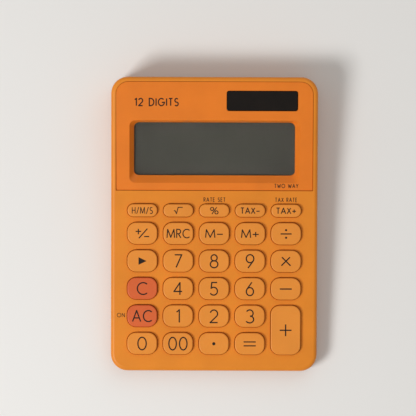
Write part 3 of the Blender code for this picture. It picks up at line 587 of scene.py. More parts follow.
def inked(name, slope, middle, strokes, thickness, fills=()):
    """A thin print on a sloping face: strokes of one thickness, and filled shapes."""
    plates = bmesh.new()
    level = middle[2] - INK_HEIGHT
    for stroke in strokes:
        path = [p for p, q in zip(stroke, [stroke[-1]] + stroke) if math.dist(p, q) > 0.001 * MM]
        closed = len(path) < len(stroke) and math.dist(stroke[0], stroke[-1]) < 0.001 * MM
        runs = [[Vector(p) for p in path]] if closed else split_at_corners(path, thickness / 2)
        for run in runs:
            level += INK_STEP
            pairs = [[plates.verts.new((middle[0] + p.x, middle[1] + p.y, level)) for p in pair]
                     for pair in ribbon(run, thickness / 2, closed)]
            for (a, b), (c, d) in zip(pairs, pairs[1:] + (pairs[:1] if closed else [])):
                plates.faces.new((a, b, d, c))
    for outline in fills:
        plates.faces.new([plates.verts.new((middle[0] + x, middle[1] + y, level)) for x, y in outline])
    bmesh.ops.recalc_face_normals(plates, faces=plates.faces)
    raised = bmesh.ops.extrude_face_region(plates, geom=plates.faces[:])["geom"]
    lifted = [item for item in raised if isinstance(item, bmesh.types.BMVert)]
    bmesh.ops.translate(plates, verts=lifted, vec=(0, 0, 2 * INK_HEIGHT))
    bmesh.ops.recalc_face_normals(plates, faces=plates.faces)
    piece = piece_of(name, plates)
    put_on(slope, piece)
    return piece


def printing_ink():
    """Opaque dark ink, thin in places, with a little tooth where it dried on the moulding."""
    material, shader = new_material("printing_ink")
    grain = noise(material, 4200, 4)
    warmer = [c * 1.6 for c in INK]
    feed(shader, "Base Color", tint(material, grain, INK, warmer))
    feed(shader, "Roughness", spread(material, grain, 0.42, 0.62))
    shader.inputs["Specular IOR Level"].default_value = 0.2
    emboss(material, shader, grain, 0.003 * MM)
    return material


ink = printing_ink()
PRINTS = (                     # name, slope, words, middle, height, width and thickness in mm
    ("digits_print", PANEL, "12 DIGITS", (-29.5, 44.5), 3.7, 22.0, 0.62),
    ("power_print", PANEL, "TWO WAY", (36.6, 1.9), 1.9, 12.0, 0.32),
    ("rate_set_print", DECK, "RATE SET", (0.1, 87.5), 2.0, 10.9, 0.31),
    ("tax_rate_print", DECK, "TAX RATE", (36.5, 87.5), 2.0, 11.0, 0.31),
    ("on_print", DECK, "ON", (-47.4, 28.4), 2.0, 3.8, 0.29),
)
for name, slope, words, place, height, width, thickness in PRINTS:
    strokes = written(words, height * MM, width * MM, PRINT_SPACE)
    piece = inked(name, slope, (place[0] * MM, place[1] * MM, 0), strokes, thickness * MM)
    settle(piece, "housing", "print_ink", ink)


# ---- Display ---------------------------------------------------------------------------------
# A clear acrylic window under the surround's floor, over a liquid-crystal glass that is dark
# grey-green when it is off. A white moulded frame holds the glass; a film cable feeds it.

LCD_GREY = (0.060, 0.056, 0.043)
SEGMENT_GREY = (0.0555, 0.0518, 0.0398)
CELL_PITCH = 6.1 * MM          # from digit to digit
DIGIT_WIDTH = 3.6 * MM
DIGIT_HEIGHT = 11.5 * MM
SEGMENT = 0.9 * MM
SEGMENT_LEAN = 0.09
DIGITS = 12
POLARISER_MARGIN = 0.35 * MM
POLARISER_DEPTH = 0.06 * MM
HOLDER_BAR = 3.4 * MM


def slab_on(slope, node, name, edge, corner, segments=3):
    """A block in a flat node's place, with rounded corners and softened edges."""
    low, high = box_on(slope, node)
    piece = block(name, low, high)
    round_uprights(piece, corner, 6)
    round_edges(piece, at_height(low.z, high.z), edge, segments)
    return piece


def clear_acrylic():
    """Clear, hard-coated plastic with the faintest hairline scuffs in its gloss."""
    material, shader = new_material("clear_acrylic")
    scuffs = noise(material, 90, 4, (1, 5, 1))
    shader.inputs["Base Color"].default_value = (0.97, 0.98, 0.97, 1)
    shader.inputs["Transmission Weight"].default_value = 1.0
    shader.inputs["IOR"].default_value = 1.2
    feed(shader, "Roughness", spread(material, scuffs, 0.05, 0.12))
    return material


lens = slab_on(PANEL, "display_lens", "display_window", 0.12 * MM, 1.0 * MM)
put_on(PANEL, lens)
shade(lens, 3)
settle(lens, "housing", "clear_plastic", clear_acrylic(), "display_lens")

glass = slab_on(PANEL, "lcd_glass", "lcd_glass_sheet", 0.1 * MM, 0.6 * MM)
glass_low, glass_high = box_on(PANEL, "lcd_glass")
pick(glass, "FACE", lambda face: face.normal.z > 0.99)
bpy.ops.mesh.inset(thickness=POLARISER_MARGIN, use_even_offset=True)
bpy.ops.transform.translate(value=(0, 0, -POLARISER_DEPTH))
done()
put_on(PANEL, glass)
shade(glass, 3)
material, shader = new_material("liquid_crystal")
drift = noise(material, 45, 3)
feed(shader, "Base Color", tint(material, drift, LCD_GREY, [c * 1.25 for c in LCD_GREY]))
feed(shader, "Roughness", spread(material, noise(material, 300, 2), 0.52, 0.60))
settle(glass, "housing", "lcd_grey", material, "lcd_glass")


def segment_bar(x, y, length, upright):
    """One bar of a digit, with its ends cut to points."""
    half, thick = length / 2, SEGMENT / 2
    outline = [(-half, 0), (thick - half, thick), (half - thick, thick), (half, 0),
               (half - thick, -thick), (thick - half, -thick)]
    if upright:
        outline = [(py, px) for px, py in outline]
    return [(x + px + (y + py) * SEGMENT_LEAN, y + py) for px, py in outline]


def digit_bars(middle_x):
    w, h = DIGIT_WIDTH / 2, DIGIT_HEIGHT / 2
    bars = [segment_bar(0, level, 2 * w - 0.3 * MM, False) for level in (-h, 0, h)]
    bars += [segment_bar(side, level, h - 0.3 * MM, True) for side in (-w, w) for level in (-h / 2, h / 2)]
    return [[(middle_x + x, y) for x, y in bar] for bar in bars]


bars = [bar for number in range(DIGITS)
        for bar in digit_bars((number - (DIGITS - 1) / 2) * CELL_PITCH + 1.2 * MM)]
middle = (0, (glass_low.y + glass_high.y) / 2 - 0.8 * MM, glass_high.z - 0.05 * MM)
ghosts = inked("lcd_segments", PANEL, middle, [], 0, bars)
material, shader = new_material("idle_segments")
lighter = [c * 1.15 for c in SEGMENT_GREY]
feed(shader, "Base Color", tint(material, noise(material, 90, 3), SEGMENT_GREY, lighter))
shader.inputs["Roughness"].default_value = 0.5
settle(ghosts, "housing", "lcd_grey", material)

holder_low, holder_high = box_on(PANEL, "lcd_holder")
holder = block("lcd_holder_frame", holder_low, holder_high)
round_uprights(holder, 2.2 * MM, 6)
inside = plan_block("holder_inside", (holder_low, holder_high), -HOLDER_BAR,
                    holder_low.z - MM, holder_high.z + MM)
round_uprights(inside, 0.8 * MM, 4)
cut(holder, inside)
round_edges(holder, at_height(holder_low.z, holder_high.z), 0.3 * MM, 2)
pick(holder, "FACE", lambda face: face.normal.z < -0.99)
bpy.ops.mesh.inset(thickness=0.9 * MM, use_even_offset=True)
bpy.ops.transform.translate(value=(0, 0, 0.8 * MM))
done()
put_on(PANEL, holder)
shade(holder)
white_plastic = moulded("moulded_white", (0.74, 0.73, 0.69), 0.5, 4200, 0.006 * MM, 0.03)
settle(holder, "housing", "white_plastic", white_plastic, "lcd_holder")

material, shader = new_material("film_cable")
tracks = material.node_tree.nodes.new("ShaderNodeTexWave")
tracks.inputs["Scale"].default_value = 300
place = material.node_tree.nodes.new("ShaderNodeTexCoord")
feed(tracks, "Vector", place.outputs["Object"])
feed(shader, "Base Color", tint(material, tracks.outputs["Fac"], (0.42, 0.17, 0.025), (0.60, 0.33, 0.10)))
feed(shader, "Roughness", spread(material, noise(material, 500), 0.25, 0.38))
paint(frame["nodes"]["lcd_flex"], material)


# ---- Solar window and cell -------------------------------------------------------------------
# A smoked acrylic window, flush in the panel, over four amorphous silicon strips on glass.

CELL_BROWN = (0.020, 0.012, 0.011)

window = slab_on(PANEL, "solar_lens", "solar_window_smoked", 0.15 * MM, 1.0 * MM)
put_on(PANEL, window)
shade(window)
material, shader = new_material("smoked_acrylic")
film = noise(material, 60, 4)
feed(shader, "Base Color", tint(material, film, (0.004, 0.0035, 0.003), (0.011, 0.007, 0.005)))
feed(shader, "Roughness", spread(material, noise(material, 400, 4), 0.12, 0.24))
shader.inputs["Specular IOR Level"].default_value = 0.25
settle(window, "housing", "smoked_plastic", material, "solar_lens")

cell = slab_on(PANEL, "solar_cell", "solar_strips", 0.1 * MM, 0.9 * MM)
cell_low, cell_high = box_on(PANEL, "solar_cell")
for gap in range(1, 4):
    x = cell_low.x + (cell_high.x - cell_low.x) * gap / 4
    cut(cell, block("strip_gap", (x - 0.15 * MM, cell_low.y + 0.6 * MM, cell_high.z - 0.1 * MM),
                    (x + 0.15 * MM, cell_high.y - 0.6 * MM, cell_high.z + MM)))
put_on(PANEL, cell)
shade(cell)
material, shader = new_material("silicon_strips")
feed(shader, "Base Color", tint(material, noise(material, 150, 3), CELL_BROWN, (0.05, 0.02, 0.03)))
feed(shader, "Roughness", spread(material, noise(material, 900), 0.15, 0.25))
settle(cell, "housing", "solar_film", material, "solar_cell")


# ---- Keys ------------------------------------------------------------------------------------
# 29 moulded caps, each with a flange that holds it under the deck and a plunger over its dome.
# Their edges are rounded, their tops are slightly dished, and their legends are printed in brown ink.

KEY_ORANGE = (0.770, 0.262, 0.031)
KEY_RED = (0.665, 0.120, 0.028)
KEY_FILLET = 0.6 * MM
KEY_RIM = 0.9 * MM             # of the top, round its shallow dish
KEY_DISH = 0.08 * MM
CAP_WALL = 1.2 * MM
CAP_DEPTH = 1.6 * MM
PLUNGER_SPACE = 2.0 * MM
INK_ON_KEYS = 0.66             # thickness of a stroke, in mm

key_plastic = moulded("moulded_key_orange", KEY_ORANGE, 0.42, 5600, 0.006 * MM, 0.04)
red_plastic = moulded("moulded_key_red", KEY_RED, 0.42, 5600, 0.006 * MM, 0.05)


def push_face(piece, test, inset, move):
    """Insets the faces that pass the test, and pushes the result out of or into the piece."""
    pick(piece, "FACE", test)
    bpy.ops.mesh.inset(thickness=inset, use_even_offset=True)
    pull(move)
    done()


def key_cap(node):
    middle, width, length, foot, top = key_size(node)
    collar = foot + KEY_FLANGE
    cap = key_prism(f"{node}_cap", middle, width, length, KEY_FLANGE, foot, collar)
    push_face(cap, at_height(collar), KEY_FLANGE, top - collar)
    round_edges(cap, at_height(top), KEY_FILLET, 5)
    pick(cap, "FACE", at_height(top))
    bpy.ops.mesh.inset(thickness=KEY_RIM, depth=-KEY_DISH, use_even_offset=True)
    done()
    push_face(cap, at_height(foot), CAP_WALL, CAP_DEPTH)
    room = length / 2 + KEY_FLANGE - CAP_WALL
    push_face(cap, at_height(foot + CAP_DEPTH), min(PLUNGER_SPACE, room / 2), -CAP_DEPTH)
    put_on(DECK, cap)
    shade(cap, 40)
    return cap


# What stands on each key, then its height, width and stroke, in mm over the ink
LEGENDS = {
    "key_0": ("0", 7.1, 4.9), "key_00": ("00", 7.1, 9.9), "key_1": ("1", 7.1, 2.2),
    "key_2": ("2", 7.1, 4.5), "key_3": ("3", 7.3, 4.6), "key_4": ("4", 6.9, 4.8),
    "key_5": ("5", 7.1, 4.4), "key_6": ("6", 7.5, 4.3), "key_7": ("7", 7.1, 4.2),
    "key_8": ("8", 7.3, 4.5), "key_9": ("9", 7.5, 4.5), "key_clear": ("C", 6.7, 5.6),
    "key_all_clear": ("AC", 6.3, 10.4), "key_subtract": ("-", 7.0, 6.7), "key_multiply": ("X", 5.0, 5.3),
    "key_add": ("+", 10.4, 6.7), "key_memory_recall": ("MRC", 4.9, 12.0, 0.56),
    "key_memory_minus": ("M-", 4.7, 9.3, 0.56), "key_memory_plus": ("M+", 4.7, 9.3, 0.56),
    "key_hms": ("H/M/S", 3.6, 10.7, 0.40), "key_tax_minus": ("TAX-", 3.4, 10.1, 0.50),
    "key_tax_plus": ("TAX+", 3.4, 10.4, 0.50), "key_percent": ("%", 3.9, 4.3, 0.48),
    "key_root": ("root", 3.7, 4.9, 0.44),
}
EQUALS_SPACE = 1.0
EQUALS_REACH = 3.1
POINT_RADIUS = 0.82
DIVIDE_REACH = 2.8
DIVIDE_DOT = 0.55
DIVIDE_SPACE = 1.93


def in_metres(strokes):
    return [[(x * MM, y * MM) for x, y in stroke] for stroke in strokes]


def key_strokes(node):
    """The strokes of a key's legend and how thick they are; no strokes where it is only stamped."""
    if node == "key_sign":
        plus = [[(-3.4, 1.05), (-0.6, 1.05)], [(-2.0, 2.35), (-2.0, -0.45)]]
        return in_metres(plus + [[(-1.75, -2.45), (2.55, 2.45)], [(0.95, -1.56), (3.5, -1.56)]]), 0.58
    if node == "key_equals":
        bars = [[(-EQUALS_REACH, y), (EQUALS_REACH, y)] for y in (-EQUALS_SPACE, EQUALS_SPACE)]
        return in_metres(bars), 0.6
    if node == "key_divide":
        return in_metres([[(-DIVIDE_REACH, 0), (DIVIDE_REACH, 0)]]), 0.62
    if node not in LEGENDS:
        return [], 0
    words, height, width, thickness = (*LEGENDS[node], INK_ON_KEYS)[:4]
    strokes = written(words, (height - thickness) * MM, (width - thickness) * MM)
    heights = [y for stroke in strokes for x, y in stroke]
    middle = (min(heights) + max(heights)) / 2
    return [[(x, y - middle) for x, y in stroke] for stroke in strokes], thickness


def key_stamps(node):
    """Filled shapes of a key's legend."""
    if node == "key_backspace":
        return in_metres([[(-1.9, -1.95), (2.2, 0), (-1.9, 1.95)]])
    if node == "key_point":
        return in_metres([arc(0, 0, POINT_RADIUS, POINT_RADIUS, 0, 345)])
    if node == "key_divide":
        return in_metres([arc(0, y, DIVIDE_DOT, DIVIDE_DOT, 0, 345) for y in (-DIVIDE_SPACE, DIVIDE_SPACE)])
    return []


def key_legend(node):
    """All the ink on one key, as one thin piece."""
    middle, *_, top = key_size(node)
    surface = Vector((middle.x, middle.y, top - KEY_DISH))
    strokes, thickness = key_strokes(node)
    return inked(f"{node}_legend", DECK, surface, strokes, thickness * MM, key_stamps(node))


for node in key_joints:
    plastic, slot = (key_plastic, "key_plastic")
    if node in ("key_clear", "key_all_clear"):
        plastic, slot = (red_plastic, "red_plastic")
    settle(key_cap(node), node, slot, plastic, node)
    settle(key_legend(node), node, "print_ink", ink)


# ---- Rubber keypad ---------------------------------------------------------------------------
# One sheet of moulded silicone under the keys: a flat web with a sprung dome under each key, two
# under the tall one. It lies on the main board.

DOME_FOOT = 3.8 * MM
DOME_CROWN = 2.4 * MM
DOME_SKIN = 0.8 * MM
DOME_ROOM = 0.3 * MM           # from a key's foot down to the dome under it
WEB = 0.8 * MM
TURN_SEGMENTS = 32
SILICONE = (0.55, 0.53, 0.50)

key_foot = key_size("key_5")[3]
dome_top = key_foot - DOME_ROOM
keypad_low, keypad_high = box_on(DECK, "rubber_keypad")
web_top = keypad_low.z + WEB
row_pitch = key_size("key_6")[0].y - key_size("key_3")[0].y


def turned(name, profile, middle, segments=TURN_SEGMENTS):
    """A solid of revolution about an upright line, through radius and height pairs."""
    mesh = bmesh.new()
    points = [mesh.verts.new((radius, 0, height)) for radius, height in profile]
    for a, b in zip(points, points[1:]):
        mesh.edges.new((a, b))
    bmesh.ops.spin(mesh, geom=mesh.verts[:] + mesh.edges[:], cent=(0, 0, 0), axis=(0, 0, 1),
                   angle=math.tau, steps=segments, use_merge=True)
    bmesh.ops.remove_doubles(mesh, verts=mesh.verts, dist=0.001 * MM)
    bmesh.ops.delete(mesh, geom=[e for e in mesh.edges if not e.link_faces], context="EDGES")
    bmesh.ops.recalc_face_normals(mesh, faces=mesh.faces)
    piece = piece_of(name, mesh)
    piece.data.transform(Matrix.Translation(middle))
    return piece


def dome_spots(node):
    """The places of a key's domes on the deck."""
    x, y, _ = key_size(node)[0]
    if node == "key_add":
        return [(x, y - row_pitch / 2), (x, y + row_pitch / 2)]
    return [(x, y)]


def silicone(name, colour):
    """Rubber with a dusty bloom, and a soft, slightly pitted skin."""
    material, shader = new_material(name)
    bloom = noise(material, 140, 5)
    paler = [min(1, c * 1.12) for c in colour]
    feed(shader, "Base Color", tint(material, bloom, colour, paler))
    feed(shader, "Roughness", spread(material, bloom, 0.62, 0.80))
    shader.inputs["Subsurface Weight"].default_value = 0.1
    shader.inputs["Subsurface Radius"].default_value = (MM, MM, MM)
    emboss(material, shader, noise(material, 3600, 3), 0.006 * MM)
    return material


pad_rubber = silicone("keypad_silicone", SILICONE)
web = plan_block("keypad_web", (keypad_low, keypad_high), 0, keypad_low.z, web_top)
round_uprights(web, 1.5 * MM, 6)
hollows = []
for node in key_joints:
    for x, y in dome_spots(node):
        profile = [(0, keypad_low.z - MM), (DOME_FOOT - DOME_SKIN, keypad_low.z - MM),
                   (DOME_FOOT - DOME_SKIN, web_top + MM), (0, web_top + MM)]
        hollows.append(turned("keypad_hollow", profile, (x, y, 0)))
cut(web, join(hollows, "keypad_hollows"))
round_edges(web, lambda e: at_height(web_top)(e) and abs(e.calc_face_angle(0)) > 1, 0.15 * MM, 2)
put_on(DECK, web)
shade(web)
settle(web, "housing", "keypad_rubber", pad_rubber, "rubber_keypad")


def dome(name, x, y):
    """A hollow rubber dome: a thin sloping skirt that folds, and a thicker crown."""
    neck = DOME_FOOT - 0.5 * MM
    inner = DOME_CROWN - DOME_SKIN
    profile = [(DOME_FOOT - DOME_SKIN, web_top), (DOME_FOOT, web_top), (neck, web_top + 0.5 * MM),
               (DOME_CROWN + 0.25 * MM, dome_top - 0.35 * MM), (DOME_CROWN, dome_top - 0.1 * MM),
               (DOME_CROWN - 0.15 * MM, dome_top), (0, dome_top), (0, dome_top - DOME_SKIN),
               (inner, dome_top - DOME_SKIN), (DOME_FOOT - DOME_SKIN, web_top)]
    piece = turned(name, profile, (x, y, 0))
    put_on(DECK, piece)
    shade(piece, 40)
    return piece


for node, joint in key_joints.items():
    for number, (x, y) in enumerate(dome_spots(node)):
        piece = dome(f"{node}_dome_{number}", x, y)
        settle(piece, "housing", "keypad_rubber", pad_rubber)
        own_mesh(piece)


# ---- Main board ------------------------------------------------------------------------------
# Brown paper laminate under the keypad. Black carbon combs face the domes, and green-brown
# tracks gather at a bare chip under a drop of resin. A small capacitor lies beside it.

LAMINATE = (0.20, 0.11, 0.035)
CARBON = (0.018, 0.017, 0.016)
COMB_REACH = 1.7 * MM
COMB_TEETH = 5
COMB_PITCH = 0.75 * MM
COMB_TOOTH = 0.36 * MM
TRACK = 0.45 * MM
TRACKS = 14
TRACK_PITCH = 0.95 * MM
CRIMP = 0.25 * MM
VENT_HALF = 0.06 * MM
VENT_REACH = 0.9 * MM

board = slab_on(DECK, "main_board", "board_laminate", 0.08 * MM, 1.5 * MM)
board_low, board_high = box_on(DECK, "main_board")
put_on(DECK, board)
shade(board)


def coated(name, first, second, scale, low, high, stretch=(1, 1, 1), bump=0.004 * MM, metallic=0.0):
    """A surface that drifts between two colours and two roughnesses, with a shallow relief."""
    material, shader = new_material(name)
    pattern = noise(material, scale, 5, stretch)
    feed(shader, "Base Color", tint(material, pattern, first, second))
    rough = spread(material, noise(material, scale * 3, 3, stretch), low, high)
    feed(shader, "Roughness", rough)
    shader.inputs["Metallic"].default_value = metallic
    emboss(material, shader, pattern, bump)
    return material


laminate = coated("paper_laminate", LAMINATE, (0.26, 0.15, 0.05), 700, 0.45, 0.6, (1, 6, 1))
settle(board, "housing", "board_laminate", laminate, "main_board")

teeth = []
for node in key_joints:
    for x, y in dome_spots(node):
        for number in range(COMB_TEETH):
            level = y + (number - (COMB_TEETH - 1) / 2) * COMB_PITCH
            shift = COMB_TOOTH if number % 2 else -COMB_TOOTH
            teeth.append([(x - COMB_REACH + shift, level), (x + COMB_REACH + shift, level)])
combs = inked("contact_combs", DECK, (0, 0, board_high.z), teeth, COMB_TOOTH)
carbon = coated("carbon_ink", CARBON, (0.03, 0.028, 0.026), 2500, 0.55, 0.7)
settle(combs, "housing", "board_laminate", carbon)

chip_low, chip_high = box_on(DECK, "chip_blob")
chip_middle = (chip_low + chip_high) / 2
tracks = []
for number in range(TRACKS):
    place = number - (TRACKS - 1) / 2
    near = chip_middle.y - (8 + 0.5 * abs(place)) * MM
    start = (place * 5.2 * MM, board_low.y + 9 * MM)
    elbow = (place * 5.2 * MM, near - abs(place) * 2.2 * MM)
    tracks.append([start, elbow, (chip_middle.x + place * TRACK_PITCH, near),
                   (chip_middle.x + place * TRACK_PITCH * 0.7, chip_middle.y - 3 * MM)])
wiring = inked("board_tracks", DECK, (0, 0, board_low.z), tracks, TRACK)
varnish = coated("varnished_copper", (0.10, 0.075, 0.02), (0.16, 0.11, 0.03), 900, 0.3, 0.42)
settle(wiring, "housing", "board_laminate", varnish)

# The drop of resin hangs from the underside, steeper at its rim than in its middle
radius = (chip_high.x - chip_low.x) / 2
drop = [(radius * math.cos(a), chip_high.z - (chip_high.z - chip_low.z) * math.sin(a))
        for a in (math.radians(10 * step) for step in range(10))]
blob = turned("chip_resin", [(0, chip_high.z)] + drop, (chip_middle.x, chip_middle.y, 0))
put_on(DECK, blob)
shade(blob, 50)
resin = coated("potting_resin", (0.008, 0.008, 0.008), (0.014, 0.014, 0.013), 220, 0.25, 0.4,
               bump=0.01 * MM)
settle(blob, "housing", "black_resin", resin, "chip_blob")

can_low, can_high = box_on(DECK, "capacitor")
can_middle = (can_low + can_high) / 2
can_radius = (can_high.y - can_low.y) / 2
half = (can_high.x - can_low.x) / 2
LYING = Matrix.Translation(can_middle) @ Matrix.Rotation(math.radians(90), 4, "Y")
sleeve = turned("capacitor_wrap", [
    (can_radius * 0.72, -half), (can_radius - 0.3 * MM, -half), (can_radius, 0.3 * MM - half),
    (can_radius, 1.2 * MM - half), (can_radius - CRIMP, 1.5 * MM - half),
    (can_radius - CRIMP, 1.8 * MM - half), (can_radius, 2.1 * MM - half),
    (can_radius, half - 0.3 * MM), (can_radius - 0.3 * MM, half),
    (can_radius * 0.72, half), (can_radius * 0.72, -half)], (0, 0, 0))
put_on(DECK @ LYING, sleeve)
shade(sleeve, 40)
wrap = coated("shrunk_sleeve", (0.018, 0.028, 0.075), (0.026, 0.038, 0.10), 300, 0.28, 0.4)
settle(sleeve, "housing", "capacitor_sleeve", wrap, "capacitor")
plug_radius = can_radius * 0.72 - 0.02 * MM
plug = turned("capacitor_can", [
    (0, 0.2 * MM - half), (plug_radius, 0.2 * MM - half), (plug_radius, half - 0.15 * MM),
    (plug_radius * 0.9, half - 0.05 * MM), (0, half - 0.05 * MM)], (0, 0, 0))
slits = [block("vent", (-x, -y, half - 0.12 * MM), (x, y, half + MM))
         for x, y in ((VENT_HALF, VENT_REACH), (VENT_REACH, VENT_HALF))]
cut(plug, join(slits, "vents"))
put_on(DECK @ LYING, plug)
shade(plug, 40)
bright = coated("drawn_aluminium", (0.60, 0.60, 0.60), (0.70, 0.70, 0.70), 900, 0.25, 0.4, metallic=1.0)
settle(plug, "housing", "capacitor_sleeve", bright)


# ---- Leads and battery contacts --------------------------------------------------------------
# Red and black vinyl leads run from the solar cell and the battery to the board, held between
# the shells all the way. The contacts are bent spring strip, nickel plated.

red_vinyl = coated("red_vinyl", (0.46, 0.018, 0.018), (0.56, 0.03, 0.025), 400, 0.32, 0.45)
black_vinyl = coated("black_vinyl", (0.009, 0.009, 0.009), (0.02, 0.02, 0.02), 400, 0.32, 0.45)
for source in ("solar", "battery"):
    paint(frame["nodes"][f"{source}_lead_red"], red_vinyl)
    paint(frame["nodes"][f"{source}_lead_black"], black_vinyl)
nickel = coated("nickel_strip", (0.52, 0.49, 0.44), (0.62, 0.59, 0.53), 500, 0.22, 0.38, (1, 12, 1),
                metallic=1.0)
paint(frame["nodes"]["battery_contact_plus"], nickel)
paint(frame["nodes"]["battery_contact_minus"], nickel)


# ---- Rear case -------------------------------------------------------------------------------
# The lower half, moulded in a coarser texture: a tray with screw pads, two ribs under the board,
# a bay for the cell with a well round it, and sunk seats for the feet, the label and the screws.

REAR_ORANGE = (0.70, 0.215, 0.028)
CASE_FLOOR = 1.6 * MM
CASE_EDGE = 1.2 * MM
GAP = 0.3 * MM                 # between pieces that are assembled face to face
BAY_WALL = 1.3 * MM
PEDESTAL_MARGIN = 2.0 * MM
SCREW_HOLE = 1.2 * MM
SEAT = 1.5 * MM                # of plastic over a screw's head
POCKET = 0.5 * MM
FOOT_SEAT = 4.3 * MM
SCREW_SINK = 2.3 * MM          # round a screw's head
CASE_BOSS = 3.0 * MM
COVER_BOSS = 2.6 * MM
RIB_X = 27 * MM
RIB_HALF = 0.7 * MM
RIB_MARGIN = 12 * MM
FLARE = 0.2 * MM               # of the edges of holes and pockets

CORNERS = [f"{end}_{side}" for end in ("front", "rear") for side in ("left", "right")]
case_low, case_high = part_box("rear_case")
parting = shell_low.z - GAP
case_floor = case_low.z + CASE_FLOOR
under = case_low.z - MM


def middle_of(node):
    low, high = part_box(node)
    return (low + high) / 2


def pocket_block(node, grow, corner, top):
    """A cutter as wide as a node and the gap round it, up from the underside, wider at its mouth."""
    start = case_low.z + FLARE
    piece = plan_block(f"{node}_pocket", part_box(node), grow, start, top)
    round_uprights(piece, corner, 5)
    pick(piece, "FACE", at_height(start))
    flare(-FLARE, piece.dimensions.x, piece.dimensions.y, FLARE)
    pull(-MM)
    done()
    return piece


def round_cutter(middle, radius, top, hole_top=None):
    """A round cutter up from the underside, wider at its mouth, with a screw's hole on from it."""
    mouth = radius + 2 * FLARE
    profile = [(0, under), (mouth, under), (mouth, case_low.z - FLARE),
               (radius, case_low.z + FLARE), (radius, top)]
    if hole_top is not None:
        profile += [(SCREW_HOLE, top), (SCREW_HOLE, hole_top)]
    profile.append((0, profile[-1][1]))
    return turned("round_cutter", profile, (middle.x, middle.y, 0))


def post(middle, radius, top):
    """A round boss on the case's floor."""
    profile = [(0, case_floor - POCKET), (radius, case_floor - POCKET), (radius, top), (0, top)]
    return turned("post", profile, (middle.x, middle.y, 0))


case = plan_block("rear_case_moulding", (shell_low, shell_high), 0, case_low.z, parting)
round_uprights(case, SHELL_CORNER, 12)
round_edges(case, at_height(case_low.z), CASE_EDGE, 5)
tray = plan_block("case_hollow", (shell_low, shell_high), -SHELL_WALL, case_floor, parting + MM)
round_uprights(tray, SHELL_CORNER - SHELL_WALL, 12)
cut(case, tray)

cover_low, cover_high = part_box("battery_cover")
cell_low, cell_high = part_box("button_cell")
strip_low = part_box("battery_contact_plus")[0]
bay_ceiling = case_high.z - BAY_WALL
for corner in CORNERS:
    cut(case, post(middle_of(f"case_screw_{corner}"), CASE_BOSS, parting), "UNION")
pedestal = plan_block("bay_pedestal", (cover_low, cover_high), PEDESTAL_MARGIN, case_floor - POCKET,
                      cell_low.z + BAY_WALL + 0.2 * MM)
round_uprights(pedestal, 2 * MM, 4)
cut(case, pedestal, "UNION")
well = block("bay_well", (strip_low.x - GAP - BAY_WALL, cell_low.y - GAP - BAY_WALL, case_floor - 0.3 * MM),
             (cell_high.x + GAP + BAY_WALL, cell_high.y + GAP + BAY_WALL, case_high.z))
round_uprights(well, 1.9 * MM, 4)
round_edges(well, at_height(case_high.z), 0.3 * MM, 2)
cut(case, well, "UNION")
screw_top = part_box("battery_cover_screw")[1].z + GAP
cut(case, post(middle_of("battery_cover_screw"), COVER_BOSS, screw_top + BAY_WALL), "UNION")

for x in (-RIB_X, RIB_X):
    rib = block("board_rib", (x - RIB_HALF, shell_low.y + RIB_MARGIN, case_floor - POCKET),
                (x + RIB_HALF, STEP_Y - RIB_MARGIN, ABOVE_ALL))
    for vertex in rib.data.vertices:
        if vertex.co.z > ABOVE_ALL - MM:
            vertex.co.z = height_at(DECK, vertex.co.y) + board_low.z - GAP
    cut(case, rib, "UNION")

pocket_top = case_low.z + POCKET
cuts = [pocket_block("battery_cover", GAP, 1.8 * MM, cell_low.z),
        pocket_block("rating_label", GAP, MM, pocket_top)]
cuts += [round_cutter(middle_of(f"foot_{corner}"), FOOT_SEAT, pocket_top) for corner in CORNERS]
cuts += [round_cutter(middle_of(f"case_screw_{corner}"), SCREW_SINK, parting - SEAT, parting + MM)
         for corner in CORNERS]
for cutter in cuts:
    cut(case, cutter)
cover_screw = middle_of("battery_cover_screw")
hole = [(0, case_low.z + MM), (SCREW_HOLE, case_low.z + MM), (SCREW_HOLE, screw_top), (0, screw_top)]
cut(case, turned("cover_screw_hole", hole, (cover_screw.x, cover_screw.y, 0), 27))
inside = block("cell_well", (strip_low.x - GAP, cell_low.y - GAP, case_low.z + MM),
               (cell_high.x + GAP, cell_high.y + GAP, bay_ceiling))
round_uprights(inside, 0.6 * MM, 3)
cut(case, inside)
for pole in ("plus", "minus"):
    low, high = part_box(f"battery_contact_{pole}")
    slot_x = (low.x + high.x) / 2 if pole == "plus" else high.x - 0.2 * MM
    cut(case, block("contact_slot", (slot_x - 0.5 * MM, low.y - GAP, bay_ceiling - MM),
                    (slot_x + 0.5 * MM, high.y + GAP, case_high.z + MM)))
shade(case, 35, at_height(case_low.z))
rear_plastic = moulded("moulded_rear_orange", REAR_ORANGE, 0.55, 1900, 0.022 * MM, 0.05)
settle(case, "housing", "rear_plastic", rear_plastic, "rear_case")


# ---- Screws and battery cover ----------------------------------------------------------------
# Zinc-plated self-tapping screws with pan heads and a cross recess, each sunk from below, and the
# battery cover's own. The cover lies flush in the bay and has grip ridges at its free end.

SCREW_CORE = 0.72 * MM
SCREW_CREST = 0.9 * MM
THREAD_PITCH = 0.55 * MM
RECESS_REACH = 1.15 * MM
RECESS_HALF = 0.22 * MM
RECESS_DEPTH = 0.55 * MM
RECESS_NARROWS = (0.55, 0.8)   # along and across an arm, at its bottom
RIDGES = 7
RIDGE_PITCH = 1.3 * MM
RIDGE_DEPTH = 0.3 * MM

zinc = coated("zinc_plate", (0.40, 0.40, 0.41), (0.52, 0.52, 0.53), 600, 0.28, 0.42, metallic=1.0)


